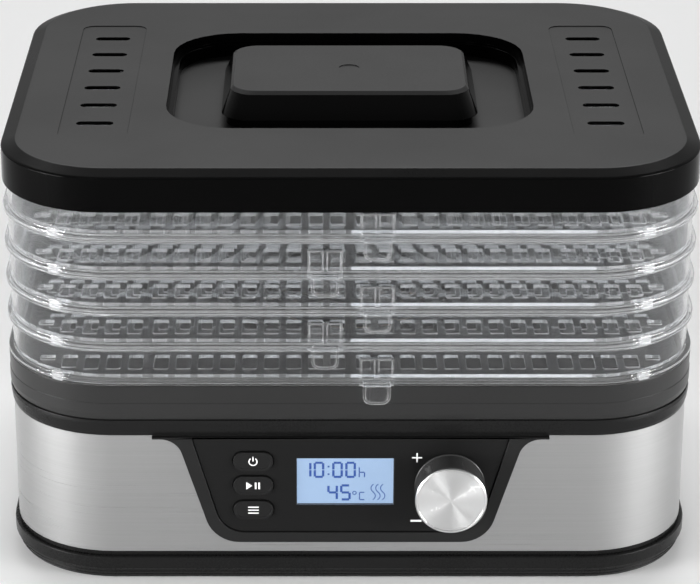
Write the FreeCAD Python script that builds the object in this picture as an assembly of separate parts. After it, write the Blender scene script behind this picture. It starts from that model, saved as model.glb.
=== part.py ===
"""Five-tray food dehydrator with a lift-off lid, clear stacking trays and a fan-heater base.

Millimetres, +Z up, front towards -Y. Every piece is first built about the casing's own centre
line and is then shifted back along Y, so that the origin is the bottom centre of the whole object.
"""
import math
import os

import FreeCAD
import Part

Vec = FreeCAD.Vector
UP = Vec(0, 0, 1)
BACKWARD = Vec(0, 1, 0)

# Driving sizes: plan outline of the lid, the tray flanges and the base shoulder
CASE_W = 341.0
CASE_D = 277.0
CORNER_R = 53.5

# Heights, from the table upwards
FOOT_H = 1.5
PAN_FLOOR_T = 2.5
PLINTH_TOP = 16.2
STEEL_TOP = 80.0
LIP_TOP = 88.5
DECK_TOP = 99.0
STACK_BASE = 107.0
TRAY_PITCH = 18.8
TRAY_COUNT = 5
LID_SEAT = STACK_BASE + TRAY_COUNT * TRAY_PITCH
RIM_BOTTOM = LID_SEAT - 4.0
RIM_TOP = LID_SEAT + 13.3
LID_TOP = RIM_TOP + 3.0
HANDLE_TOP = LID_TOP + 5.8

# Insets of each layer from the case outline (a negative inset stands proud of it)
STEEL_INSET = 1.5
STEEL_T = 0.8
PLINTH_INSET = -0.5
HOUSING_T = 2.5
DECK_T = 2.5

# Trays
TRAY_WALL_INSET = 2.3
TRAY_WALL_T = 1.8
TRAY_FLANGE_H = 2.6
TRAY_FLOOR_Z = 3.0
TRAY_FLOOR_T = 1.8
NEST_GAP = 0.4
NEST_T = 1.5
NEST_H = 1.8
SLOT_W = 7.8
SLOT_L = 16.5
SLOT_PITCH_X = 10.78
SLOT_PITCH_Y = 23.9
SLOT_ROWS = 11
BLOCK_PITCH = 98.8
WIDE_BAR = 4.7
OUTER_SLOTS = 5
SLOT_MARGIN = 2.0
SLOT_MIN_L = 5.0
CLIP_X = 12.5
CLIP_W = 16.8
CLIP_TOP = TRAY_PITCH - 4.4
TONGUE_W = 13.5
TONGUE_T = 1.5
TONGUE_DROP = 9.2
RUN_GAP = 0.3

# Lid
LID_RIM_T = 2.0
LID_WALL_INSET = 4.2
LID_SKIN = 2.5
MARGIN_W = 8.0
PAN_W = 184.0
PAN_D = 152.0
PAN_R = 34.0
PAN_DEPTH = 12.0
PAN_STEP = 3.0
PAN_STEP_DEPTH = 5.0
VENT_X = 126.0
VENT_PITCH = 27.0
VENT_COUNT = 6
VENT_L = 18.3
VENT_W = 5.4
VENT_PANEL_W = 34.0
VENT_PANEL_L = 178.0
RELIEF = 0.5
NECK_W = 125.0
NECK_D = 88.0
GRIP_W = 129.5
GRIP_D = 94.0
GRIP_R = 15.0
GRIP_LIP = 6.5
HANDLE_SCREW_X = 45.0
HANDLE_SCREW_Y = 26.0

# Control panel on the front of the base
STEEL_FRONT = -(CASE_D / 2 - STEEL_INSET)
FRAME_T = 3.0
FASCIA_FRONT = STEEL_FRONT - 2.3
BUTTON_X = -47.7
BUTTON_Z = (67.2, 54.1, 40.7)
BUTTON_W = 19.7
BUTTON_H = 9.9
BUTTON_GAP = 0.35
BUTTON_PROUD = 1.2
BUTTON_TRAVEL = 0.8
LCD_X = -2.6
LCD_Z = 55.6
LCD_W = 47.7
LCD_H = 25.5
KNOB_X = 48.7
KNOB_Z = 54.1
KNOB_R = 17.5
KNOB_LENGTH = 17.8
KNOB_CAP_T = 1.3
KNOB_FRONT = FASCIA_FRONT - KNOB_LENGTH
BOARD_Y = FASCIA_FRONT + 14.0
BOARD_T = 1.6
BOARD_HOLES = ((-58, 34), (58, 34), (-58, 74), (58, 74))
SWITCH_H = 4.2
ENCODER_SHAFT_R = 2.4
ENCODER_PLAY = 0.1
PRESS_FIT = 0.02

# Fan and heater
SHROUD_R = 58.0
SHROUD_T = 2.0
BRIDGE_Z = 28.0
BRIDGE_T = 3.0
MOTOR_R = 18.0
MOTOR_H = 20.0
SHAFT_R = 1.6
SHAFT_PLAY = 0.2
FAN_R = 52.0
FAN_HUB_R = 13.0
FAN_BLADES = 7
HEATER_Z = 74.0
GRILLE_R = 66.0
POST_X = 138.0
POST_Y = 106.0
POST_R = 5.0
SCREW_R = 1.5
FOOT_X = 120.0
FOOT_Y = 88.0
FOOT_R = 9.0
FOOT_PEG_R = 3.0
GLAND_X = 98.0
GLAND_Z = 32.0
GLAND_R = 6.0

# Half of the knob's reach in front of the plinth brings the origin under the whole object
Y_SHIFT = (-(KNOB_FRONT) - (CASE_D / 2 - PLINTH_INSET)) / 2


def rounded_wire(corners, place):
    """A closed wire through (u, v, radius) corners; place turns a (u, v) pair into a 3D point."""
    edges = []
    starts = []
    ends = []
    count = len(corners)
    for i, (u, v, radius) in enumerate(corners):
        before = corners[i - 1]
        after = corners[(i + 1) % count]
        corner = Vec(u, v, 0)
        to_before = (Vec(before[0], before[1], 0) - corner).normalize()
        to_after = (Vec(after[0], after[1], 0) - corner).normalize()
        if radius <= 0:
            starts.append(corner)
            ends.append(corner)
            edges.append(None)
            continue
        half = to_before.getAngle(to_after) / 2
        reach = radius / math.tan(half)
        bisector = (to_before + to_after).normalize()
        middle = corner + bisector * (radius / math.sin(half) - radius)
        start = corner + to_before * reach
        end = corner + to_after * reach
        starts.append(start)
        ends.append(end)
        edges.append(Part.Arc(place(start), place(middle), place(end)).toShape())
    loop = []
    for i in range(count):
        if edges[i] is not None:
            loop.append(edges[i])
        end = place(ends[i])
        start = place(starts[(i + 1) % count])
        if end.distanceToPoint(start) > 1e-6:
            loop.append(Part.LineSegment(end, start).toShape())
    return Part.Wire(loop)


def plan_wire(width, depth, radius, z, x=0.0, y=0.0):
    """A rounded rectangle lying flat at height z."""
    w = width / 2
    d = depth / 2
    corners = [(x - w, y - d, radius), (x + w, y - d, radius), (x + w, y + d, radius), (x - w, y + d, radius)]
    return rounded_wire(corners, lambda p: Vec(p.x, p.y, z))


def front_wire(corners, y):
    """A rounded outline standing upright at depth y, from (x, z, radius) corners."""
    return rounded_wire(corners, lambda p: Vec(p.x, y, p.y))


def prism(wire, direction):
    return Part.Face(wire).extrude(direction)


def case_wire(inset, z):
    """The case outline, drawn in by inset all round."""
    return plan_wire(CASE_W - 2 * inset, CASE_D - 2 * inset, CORNER_R - inset, z)


def case_slab(inset, z0, z1):
    return prism(case_wire(inset, z0), Vec(0, 0, z1 - z0))


def case_ring(outer_inset, inner_inset, z0, z1):
    return case_slab(outer_inset, z0, z1).cut(case_slab(inner_inset, z0 - 1, z1 + 1))


def case_loft(sections):
    """A solid through (inset, z) sections of the case outline."""
    return Part.makeLoft([case_wire(inset, z) for inset, z in sections], True, True)


def plate(width, depth, radius, z0, z1, x=0.0, y=0.0):
    return prism(plan_wire(width, depth, radius, z0, x, y), Vec(0, 0, z1 - z0))


def rod(radius, z0, z1, x=0.0, y=0.0):
    return Part.makeCylinder(radius, z1 - z0, Vec(x, y, z0), UP)


def bar_y(radius, y0, y1, x, z):
    """A round bar lying along Y."""
    return Part.makeCylinder(radius, y1 - y0, Vec(x, y0, z), BACKWARD)


def block(x0, x1, y0, y1, z0, z1):
    return Part.makeBox(x1 - x0, y1 - y0, z1 - z0, Vec(x0, y0, z0))


def front_prism(corners, y0, y1):
    return prism(front_wire(corners, y0), Vec(0, y1 - y0, 0))


def pill(width, height, y0, y1, x, z, grow=0.0):
    """A button outline with round ends."""
    w = width / 2 + grow
    h = height / 2 + grow
    r = h - 0.01
    corners = [(x - w, z - h, r), (x + w, z - h, r), (x + w, z + h, r), (x - w, z + h, r)]
    return front_prism(corners, y0, y1)


def mirrored(places):
    """Every (x, y) pair with both signs of each number."""
    return [(sx * x, sy * y) for x, y in places for sx in (-1, 1) for sy in (-1, 1)]


def merged(shapes):
    return shapes[0].multiFuse(shapes[1:]).removeSplitter()


# ---------------------------------------------------------------- trays

def slot_columns():
    """The middles of the floor slots along X: two blocks of nine and a few outside them."""
    columns = []
    for side in (-1, 1):
        columns += [side * BLOCK_PITCH / 2 + (i - 4) * SLOT_PITCH_X for i in range(9)]
        first = BLOCK_PITCH + (WIDE_BAR + SLOT_W) / 2
        columns += [side * (first + i * SLOT_PITCH_X) for i in range(OUTER_SLOTS)]
    return columns


def slot_span(x, y):
    """The front and back ends of the slot at (x, y), shortened to stay inside the rounded floor."""
    inset = TRAY_WALL_INSET + TRAY_WALL_T + SLOT_MARGIN
    radius = CORNER_R - inset
    over_x = abs(x) + SLOT_W / 2 - (CASE_W / 2 - inset - radius)
    if over_x >= radius:
        return None
    limit = CASE_D / 2 - inset - radius + math.sqrt(radius ** 2 - max(over_x, 0) ** 2)
    low = max(y - SLOT_L / 2, -limit)
    high = min(y + SLOT_L / 2, limit)
    return (low, high) if high - low >= SLOT_MIN_L else None


def tray_floor(z):
    """The slotted floor plate of a tray."""
    outline = case_wire(TRAY_WALL_INSET + TRAY_WALL_T, z)
    face = Part.Face(outline)
    holes = []
    for x in slot_columns():
        for row in range(SLOT_ROWS):
            span = slot_span(x, (row - (SLOT_ROWS - 1) / 2) * SLOT_PITCH_Y)
            if span:
                w = SLOT_W / 2
                corners = [Vec(x - w, span[0], z), Vec(x + w, span[0], z),
                           Vec(x + w, span[1], z), Vec(x - w, span[1], z)]
                holes.append(Part.Face(Part.makePolygon(corners + corners[:1])))
    return face.cut(Part.makeCompound(holes)).extrude(Vec(0, 0, TRAY_FLOOR_T))


def tray_wall(z, clip_x):
    """The wall ring of a tray: bottom flange, wall, nesting lip, and the front clip with its tongue."""
    inner = TRAY_WALL_INSET + TRAY_WALL_T
    nest_outer = inner + NEST_GAP
    nest_inner = nest_outer + NEST_T
    top = z + TRAY_PITCH
    front = -CASE_D / 2
    pieces = [
        case_ring(0, inner, z, z + TRAY_FLANGE_H),
        case_ring(TRAY_WALL_INSET, inner, z, top),
        case_ring(TRAY_WALL_INSET, nest_inner, top - TRAY_WALL_T, top),
        case_ring(nest_outer, nest_inner, top - TRAY_WALL_T, top + NEST_H),
    ]
    wall_front = front + TRAY_WALL_INSET
    clip = block(clip_x - CLIP_W / 2, clip_x + CLIP_W / 2, front, wall_front + 0.5, z, z + CLIP_TOP)
    rib = 1.4
    window = (CLIP_W - 3 * rib) / 2
    for side in (-1, 1):
        middle = clip_x + side * (window + rib) / 2
        clip = clip.cut(block(middle - window / 2, middle + window / 2, front - 1, wall_front,
                              z + TRAY_FLANGE_H + rib, z + CLIP_TOP + 1))
    tongue_back = front - RUN_GAP
    tongue = block(clip_x - TONGUE_W / 2, clip_x + TONGUE_W / 2, tongue_back - TONGUE_T, tongue_back,
                   z - TONGUE_DROP, z + TRAY_FLANGE_H)
    root = block(clip_x - TONGUE_W / 2, clip_x + TONGUE_W / 2, tongue_back - TONGUE_T, front + 0.5,
                 z, z + TRAY_FLANGE_H)
    return merged(pieces + [clip, tongue, root])


def tray(number):
    """Tray 1 is the top one. The clips alternate from side to side down the stack."""
    z = STACK_BASE + (TRAY_COUNT - number) * TRAY_PITCH
    side = 1 if number % 2 else -1
    return Part.makeCompound([tray_wall(z, side * CLIP_X), tray_floor(z + TRAY_FLOOR_Z)])


# ---------------------------------------------------------------- lid

def lid_shell():
    """The black lid: deep rim, sloped margin, sunk handle pan and two rows of vent slots."""
    body = case_slab(0, RIM_BOTTOM, RIM_TOP).fuse(case_loft([(0.6, RIM_TOP), (MARGIN_W, LID_TOP)]))
    hollow = case_slab(LID_RIM_T, RIM_BOTTOM - 1, LID_SEAT)
    upper = case_slab(LID_WALL_INSET, LID_SEAT - 1, RIM_TOP - LID_SKIN)
    crown = case_loft([(LID_WALL_INSET, RIM_TOP - LID_SKIN), (MARGIN_W + 1, LID_TOP - LID_SKIN)])
    body = body.cut(hollow).cut(upper).cut(crown)
    pan_floor = LID_TOP - PAN_DEPTH
    pan = plate(PAN_W + 2 * LID_SKIN, PAN_D + 2 * LID_SKIN, PAN_R + LID_SKIN, pan_floor - 2.3, LID_TOP - 0.5)
    mouth = plate(PAN_W, PAN_D, PAN_R, LID_TOP - PAN_STEP_DEPTH, LID_TOP + 1)
    well = plate(PAN_W - 2 * PAN_STEP, PAN_D - 2 * PAN_STEP, PAN_R - PAN_STEP, pan_floor, LID_TOP + 1)
    body = body.fuse(pan).cut(mouth).cut(well)
    for side in (-1, 1):
        relief = plate(VENT_PANEL_W, VENT_PANEL_L, 6, LID_TOP - RELIEF, LID_TOP + 1, side * VENT_X)
        body = body.cut(relief)
        for i in range(VENT_COUNT):
            y = (i - (VENT_COUNT - 1) / 2) * VENT_PITCH
            radius = VENT_W / 2 - 0.01
            body = body.cut(plate(VENT_L, VENT_W, radius, LID_TOP - 5, LID_TOP + 1, side * VENT_X, y))
    for x, y in mirrored([(HANDLE_SCREW_X, HANDLE_SCREW_Y)]):
        body = body.cut(rod(SCREW_R + 0.2, pan_floor - 5, pan_floor + 1, x, y))
    return body.removeSplitter()


def lid_handle():
    """A straight-sided grip that stands over a slightly narrower neck in the pan."""
    base = LID_TOP - PAN_DEPTH
    lip = LID_TOP - GRIP_LIP
    neck = plate(NECK_W, NECK_D, GRIP_R - 2, base, lip + 1)
    sections = [(-2, -2, lip), (0, 0, lip + 1.2), (-9, -15.5, HANDLE_TOP - 1.5), (-12, -21, HANDLE_TOP)]
    wires = [plan_wire(GRIP_W + dw, GRIP_D + dd, GRIP_R, z) for dw, dd, z in sections]
    grip = Part.makeLoft(wires, True, True)
    hollow = plate(NECK_W - 10, NECK_D - 20, GRIP_R - 6, base - 1, HANDLE_TOP - 4)
    handle = neck.fuse(grip).cut(hollow)
    for x, y in mirrored([(HANDLE_SCREW_X, HANDLE_SCREW_Y)]):
        handle = handle.fuse(rod(4.0, base, HANDLE_TOP - 3, x, y))
    for x, y in mirrored([(HANDLE_SCREW_X, HANDLE_SCREW_Y)]):
        handle = handle.cut(rod(SCREW_R, base - 1, base + 8, x, y))
    return handle.removeSplitter()


def handle_screws():
    under = LID_TOP - PAN_DEPTH - 2.3
    screws = []
    for x, y in mirrored([(HANDLE_SCREW_X, HANDLE_SCREW_Y)]):
        head = rod(3.0, under - 1.6, under, x, y)
        shank = rod(SCREW_R - 0.02, under - 0.5, under + 9, x, y)
        screws.append(head.fuse(shank))
    return Part.makeCompound(screws)


# ---------------------------------------------------------------- base casing

def bottom_pan():
    """The black plinth and floor of the base, with its air intake under the fan."""
    z = FOOT_H
    outer = [
        case_loft([(2.4, z), (1.2, z + 1.9)]),
        case_loft([(1.6, z + 1.9), (0.4, z + 3.9)]),
        case_loft([(0.8, z + 3.9), (-0.2, z + 5.9)]),
        case_loft([(PLINTH_INSET, z + 5.9), (PLINTH_INSET, PLINTH_TOP - 2.8)]),
        case_loft([(PLINTH_INSET, PLINTH_TOP - 2.8), (0.2, PLINTH_TOP - 2.2)]),
        case_slab(STEEL_INSET + 0.6, PLINTH_TOP - 2.3, PLINTH_TOP),
    ]
    body = merged(outer)
    body = body.cut(case_slab(STEEL_INSET + HOUSING_T + 0.6, z + PAN_FLOOR_T, PLINTH_TOP + 1))
    for i in range(24):
        slot = block(16, 50, -1.6, 1.6, z - 1, z + PAN_FLOOR_T + 1)
        slot.rotate(Vec(0, 0, 0), UP, i * 15.0)
        body = body.cut(slot)
    for i in range(3):
        angle = math.radians(90 + 120 * i)
        post = rod(3.2, z + PAN_FLOOR_T - 0.5, BRIDGE_Z, 55 * math.cos(angle), 55 * math.sin(angle))
        body = body.fuse(post)
    for x, y in mirrored([(POST_X, POST_Y)]):
        body = body.cut(rod(SCREW_R + 0.2, z - 1, z + PAN_FLOOR_T + 1, x, y))
    for x, y in mirrored([(FOOT_X, FOOT_Y)]):
        body = body.cut(rod(FOOT_PEG_R, z - 1, z + PAN_FLOOR_T + 1, x, y))
    return body.removeSplitter()


def rubber_feet():
    feet = []
    for x, y in mirrored([(FOOT_X, FOOT_Y)]):
        disc = rod(FOOT_R, 0, FOOT_H, x, y)
        peg = rod(FOOT_PEG_R - 0.02, 0.5, FOOT_H + PAN_FLOOR_T, x, y)
        feet.append(disc.fuse(peg))
    return Part.makeCompound(feet)


def steel_wrap():
    """The brushed steel band round the base, with a window behind the control panel."""
    band = case_ring(STEEL_INSET, STEEL_INSET + STEEL_T, PLINTH_TOP, STEEL_TOP)
    window = front_prism(fascia_corners(-3.2, 8), STEEL_FRONT - 2, STEEL_FRONT + 4)
    gland = bar_y(GLAND_R, CASE_D / 2 - 6, CASE_D / 2 + 2, GLAND_X, GLAND_Z)
    return band.cut(window).cut(gland)


def lip_ring():
    """The black ring that closes the top of the steel band."""
    outer = case_loft([(1.3, STEEL_TOP), (0.7, STEEL_TOP + 2), (0.1, LIP_TOP - 2), (0.3, LIP_TOP)])
    return outer.cut(case_slab(STEEL_INSET + HOUSING_T, STEEL_TOP - 1, LIP_TOP + 1))


def upper_housing():
    """The shoulder and deck of the base: the trays stand on it, and four posts take the case screws."""
    neck = case_slab(1.3, LIP_TOP, LIP_TOP + 0.8)
    shoulder = case_loft([(0.5, LIP_TOP + 0.8), (0.0, LIP_TOP + 3.5), (0.0, 97.7)])
    collar = case_loft([(0.25, 97.7), (0.0, STACK_BASE)])
    body = merged([neck, shoulder, collar])
    well = case_slab(HOUSING_T + 1.6, DECK_TOP, STACK_BASE + 1)
    under = case_slab(STEEL_INSET + HOUSING_T, LIP_TOP - 1, DECK_TOP - DECK_T)
    body = body.cut(well).cut(under)
    for x, y in mirrored([(POST_X, POST_Y)]):
        body = body.fuse(rod(POST_R, FOOT_H + PAN_FLOOR_T, DECK_TOP - 1, x, y))
    for x, y in mirrored([(POST_X, POST_Y)]):
        body = body.cut(rod(SCREW_R, 0, 26, x, y))
    body = body.cut(rod(SHROUD_R - SHROUD_T, DECK_TOP - DECK_T - 1, DECK_TOP + 1))
    return body.removeSplitter()


def case_screws():
    screws = []
    for x, y in mirrored([(POST_X, POST_Y)]):
        head = rod(2.9, 0.3, FOOT_H, x, y)
        shank = rod(SCREW_R - 0.02, 0.8, 22, x, y)
        screws.append(head.fuse(shank))
    return Part.makeCompound(screws)


def cord_gland():
    """The rubber bush where the mains lead would enter at the back."""
    back = CASE_D / 2 - STEEL_INSET
    bush = bar_y(GLAND_R - 0.02, back - 4, back, GLAND_X, GLAND_Z)
    collar = bar_y(GLAND_R + 2, back, back + 1.4, GLAND_X, GLAND_Z)
    nut = bar_y(GLAND_R + 2, back - 4, back - STEEL_T, GLAND_X, GLAND_Z)
    bore = bar_y(3.2, back - 6, back + 3, GLAND_X, GLAND_Z)
    return bush.fuse(collar).fuse(nut).cut(bore)


# ---------------------------------------------------------------- control panel

def panel_corners(side_top, side_low, z_top, z_low, low_radius, top_radius):
    """A panel outline whose sides lean in towards the bottom."""
    return [(-side_top, z_top, top_radius), (-side_low, z_low, low_radius),
            (side_low, z_low, low_radius), (side_top, z_top, top_radius)]


def fascia_corners(grow=0.0, low_radius=14):
    return panel_corners(77.4 + grow, 62.5 + grow, STEEL_TOP - 0.6 + grow, 28.5 - grow, low_radius, 1.2)


def panel_frame():
    """The charcoal surround: it flares out under the lip ring and rounds in at the bottom."""
    strip = 1.0
    corners = [(-97, STEEL_TOP, 0), (-97, STEEL_TOP - strip, 0), (-84.9, STEEL_TOP - strip, 11),
               (-67.1, 22.7, 17), (67.1, 22.7, 17), (84.9, STEEL_TOP - strip, 11),
               (97, STEEL_TOP - strip, 0), (97, STEEL_TOP, 0)]
    frame = front_prism(corners, STEEL_FRONT - FRAME_T, STEEL_FRONT)
    opening = front_prism(fascia_corners(0.35), STEEL_FRONT - FRAME_T - 1, STEEL_FRONT + 1)
    frame = frame.cut(opening)
    ledge = front_prism(fascia_corners(0.35), STEEL_FRONT - 0.6, STEEL_FRONT)
    inside = front_prism(fascia_corners(-2.2, 8), STEEL_FRONT - 2, STEEL_FRONT + 1)
    return frame.fuse(ledge.cut(inside)).removeSplitter()


def panel_fascia():
    """The dark face plate with openings for the buttons, the display and the knob's bush."""
    back = STEEL_FRONT - 0.6
    face = front_prism(fascia_corners(), FASCIA_FRONT, back)
    for z in BUTTON_Z:
        face = face.cut(pill(BUTTON_W, BUTTON_H, FASCIA_FRONT - 1, back + 1, BUTTON_X, z, BUTTON_GAP))
    face = face.cut(display_block(FASCIA_FRONT - 1, back + 1, 0.05))
    return face.cut(bar_y(3.6, FASCIA_FRONT - 1, back + 1, KNOB_X, KNOB_Z))


def display_block(y0, y1, grow=0.0):
    w = LCD_W / 2 + grow
    h = LCD_H / 2 + grow
    return block(LCD_X - w, LCD_X + w, y0, y1, LCD_Z - h, LCD_Z + h)


def display_window():
    return display_block(FASCIA_FRONT + 0.3, STEEL_FRONT - 0.6)


def lcd_module():
    w = LCD_W / 2 + 3
    h = LCD_H / 2 + 1.5
    return block(LCD_X - w, LCD_X + w, STEEL_FRONT + 1.2, BOARD_Y, LCD_Z - h, LCD_Z + h)


def push_button(z):
    """A pill cap with a stop flange behind the fascia and a stem to its switch."""
    back = STEEL_FRONT - 0.6
    cap = pill(BUTTON_W, BUTTON_H, FASCIA_FRONT - BUTTON_PROUD, back + 0.8, BUTTON_X, z)
    flange = block(BUTTON_X - 10.8, BUTTON_X + 10.8, back + 0.3, back + 1.5, z - 5.6, z + 5.6)
    stem = bar_y(2.0, back + 1, BOARD_Y - SWITCH_H - BUTTON_TRAVEL - 0.05, BUTTON_X, z)
    return merged([cap, flange, stem])


def control_board():
    """The circuit board behind the panel, with the encoder's bush hole left solid."""
    board = block(-62, 62, BOARD_Y, BOARD_Y + BOARD_T, 31, 77)
    for x, z in BOARD_HOLES:
        board = board.cut(bar_y(1.6, BOARD_Y - 1, BOARD_Y + 3, x, z))
    return board


def tact_switches():
    switches = []
    for z in BUTTON_Z:
        body = block(BUTTON_X - 3, BUTTON_X + 3, BOARD_Y - 3.5, BOARD_Y, z - 3, z + 3)
        plunger = bar_y(1.7, BOARD_Y - SWITCH_H, BOARD_Y - 3, BUTTON_X, z)
        switches.append(body.fuse(plunger))
    return Part.makeCompound(switches)


def encoder_body():
    """The rotary encoder on the board; its threaded bush reaches the back of the fascia."""
    body = block(KNOB_X - 6.5, KNOB_X + 6.5, BOARD_Y - 6.5, BOARD_Y, KNOB_Z - 6.5, KNOB_Z + 6.5)
    bush = bar_y(3.5, FASCIA_FRONT + 0.3, BOARD_Y - 6, KNOB_X, KNOB_Z)
    bore = bar_y(ENCODER_SHAFT_R + ENCODER_PLAY, FASCIA_FRONT - 1, BOARD_Y - 2, KNOB_X, KNOB_Z)
    return body.fuse(bush).cut(bore)


def encoder_shaft():
    return bar_y(ENCODER_SHAFT_R, KNOB_FRONT + 5, BOARD_Y - 2.5, KNOB_X, KNOB_Z)


def knob_body():
    """The black knob skirt, bored for the encoder's shaft."""
    back = FASCIA_FRONT - 0.5
    skirt = bar_y(KNOB_R - 0.2, KNOB_FRONT + KNOB_CAP_T, back, KNOB_X, KNOB_Z)
    hollow = bar_y(KNOB_R - 2.6, KNOB_FRONT + 6, back + 1, KNOB_X, KNOB_Z)
    boss = bar_y(5.0, KNOB_FRONT + 3, back, KNOB_X, KNOB_Z)
    bore = bar_y(ENCODER_SHAFT_R + PRESS_FIT, KNOB_FRONT + 5, back + 1, KNOB_X, KNOB_Z)
    return skirt.cut(hollow).fuse(boss).cut(bore)


def knob_cap():
    """The spun aluminium disc on the knob's face, with a chamfered rim."""
    disc = bar_y(KNOB_R, KNOB_FRONT, KNOB_FRONT + KNOB_CAP_T, KNOB_X, KNOB_Z)
    rim = [edge for edge in disc.Edges if abs(edge.BoundBox.YMax - KNOB_FRONT) < 1e-6]
    return disc.makeChamfer(0.5, rim)


def board_screws():
    """Four screws hold the board to the panel frame's bosses."""
    screws = []
    for x, z in BOARD_HOLES:
        head = bar_y(2.8, BOARD_Y + BOARD_T, BOARD_Y + BOARD_T + 1.8, x, z)
        shank = bar_y(1.5, BOARD_Y - 8, BOARD_Y + BOARD_T + 0.5, x, z)
        screws.append(head.fuse(shank))
    return Part.makeCompound(screws)


def board_carrier():
    """The moulded frame that carries the board on four bosses behind the steel band."""
    front = STEEL_FRONT + STEEL_T + 0.1
    legs = []
    for x, z in BOARD_HOLES:
        boss = bar_y(3.5, front + 1.5, BOARD_Y, x, z)
        legs.append(boss)
    bars = [block(-64, 64, front, front + 1.6, z - 3.5, z + 3.5) for z in (34, 74)]
    bars += [block(x - 3.5, x + 3.5, front, front + 1.6, 34, 74) for x in (-60.5, 60.5)]
    carrier = merged(legs + bars)
    for x, z in BOARD_HOLES:
        carrier = carrier.cut(bar_y(1.52, BOARD_Y - 8.5, BOARD_Y + 1, x, z))
    for z in BUTTON_Z:
        carrier = carrier.cut(block(-60, BUTTON_X + 12, front - 1, front + 3, z - 7, z + 7))
    return carrier


# ---------------------------------------------------------------- fan and heater

def motor_bridge():
    """A three-armed bridge over the intake that carries the motor and the shroud."""
    ring = rod(SHROUD_R + 1, BRIDGE_Z, BRIDGE_Z + BRIDGE_T).cut(rod(SHROUD_R - 6, BRIDGE_Z - 1, BRIDGE_Z + 9))
    pieces = [ring, rod(MOTOR_R + 2, BRIDGE_Z, BRIDGE_Z + BRIDGE_T)]
    for i in range(3):
        arm = block(10, SHROUD_R - 4, -4, 4, BRIDGE_Z, BRIDGE_Z + BRIDGE_T)
        arm.rotate(Vec(0, 0, 0), UP, 90 + 120 * i)
        pieces.append(arm)
    return merged(pieces)


def fan_motor():
    z = BRIDGE_Z + BRIDGE_T
    can = rod(MOTOR_R, z, z + MOTOR_H)
    nose = rod(6, z + MOTOR_H - 0.5, z + MOTOR_H + 2)
    return can.fuse(nose).cut(rod(SHAFT_R + SHAFT_PLAY, z + 4, z + MOTOR_H + 5))


def motor_shaft():
    z = BRIDGE_Z + BRIDGE_T
    return rod(SHAFT_R, z + 4.5, z + MOTOR_H + 16)


def fan_impeller():
    """Seven pitched blades on a hub that is pushed onto the motor's shaft."""
    z = BRIDGE_Z + BRIDGE_T + MOTOR_H + 3
    height = 14.0
    pieces = [rod(FAN_HUB_R, z, z + height)]
    for i in range(FAN_BLADES):
        blade = block(FAN_HUB_R - 2, FAN_R + 4, -12, 12, -0.8, 0.8)
        blade.rotate(Vec(0, 0, 0), Vec(1, 0, 0), 32)
        blade.translate(Vec(0, 0, z + height / 2))
        blade.rotate(Vec(0, 0, 0), UP, i * 360 / FAN_BLADES)
        pieces.append(blade.common(rod(FAN_R, z, z + height)))
    return merged(pieces).cut(rod(SHAFT_R, z - 1, z + height + 1))


def fan_shroud():
    """The round duct from the bridge to the deck, flanged at the top."""
    z0 = BRIDGE_Z + BRIDGE_T
    z1 = DECK_TOP - DECK_T
    tube = rod(SHROUD_R, z0, z1).fuse(rod(SHROUD_R + 8, z1 - 2, z1))
    return tube.cut(rod(SHROUD_R - SHROUD_T, z0 - 1, z1 + 1))


def heater_frame():
    """Two crossed mica cards that carry the heating wire across the duct."""
    reach = SHROUD_R - SHROUD_T - 0.2
    cards = [block(-reach, reach, -0.8, 0.8, HEATER_Z, HEATER_Z + 9),
             block(-0.8, 0.8, -reach, reach, HEATER_Z, HEATER_Z + 9)]
    return merged(cards + [rod(7, HEATER_Z + 7, HEATER_Z + 9)])


def heater_coil():
    """Three rings of heating wire resting on the mica cards."""
    wire = 0.9
    rings = [Part.makeTorus(r, wire, Vec(0, 0, HEATER_Z + 9 + wire), UP) for r in (20, 32, 44)]
    return Part.makeCompound(rings)


def thermal_cutout():
    z = HEATER_Z + 9
    return rod(6, z, z + 5).fuse(rod(2.5, z + 4.5, z + 7))


def air_grille():
    """The round guard over the duct: rings of slots between eight spokes."""
    z = DECK_TOP
    disc = rod(GRILLE_R, z, z + 2.0)
    for ring in range(6):
        inner = 9.0 + ring * 8.0
        slot = rod(inner + 5.0, z - 1, z + 3).cut(rod(inner, z - 2, z + 4))
        spokes = []
        for i in range(4):
            spoke = block(-70, 70, -1.5, 1.5, z - 2, z + 4)
            spoke.rotate(Vec(0, 0, 0), UP, i * 45.0)
            spokes.append(spoke)
        disc = disc.cut(slot.cut(spokes[0].multiFuse(spokes[1:])))
    return disc


def power_board():
    """The mains board beside the fan, with its relay and a filter capacitor."""
    board = block(82, 122, -60, 40, 12, 13.6)
    relay = block(88, 106, -20, -5, 13.6, 29)
    capacitor = block(88, 106, 8, 26, 13.6, 27)
    stand = [rod(2.5, FOOT_H + PAN_FLOOR_T, 12, x, y) for x in (86, 118) for y in (-55, 35)]
    return merged([board, relay, capacitor] + stand)


def save(name, shape):
    shape.translate(Vec(0, Y_SHIFT, 0))
    shape.exportStep("parts/" + name + ".step")


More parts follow.
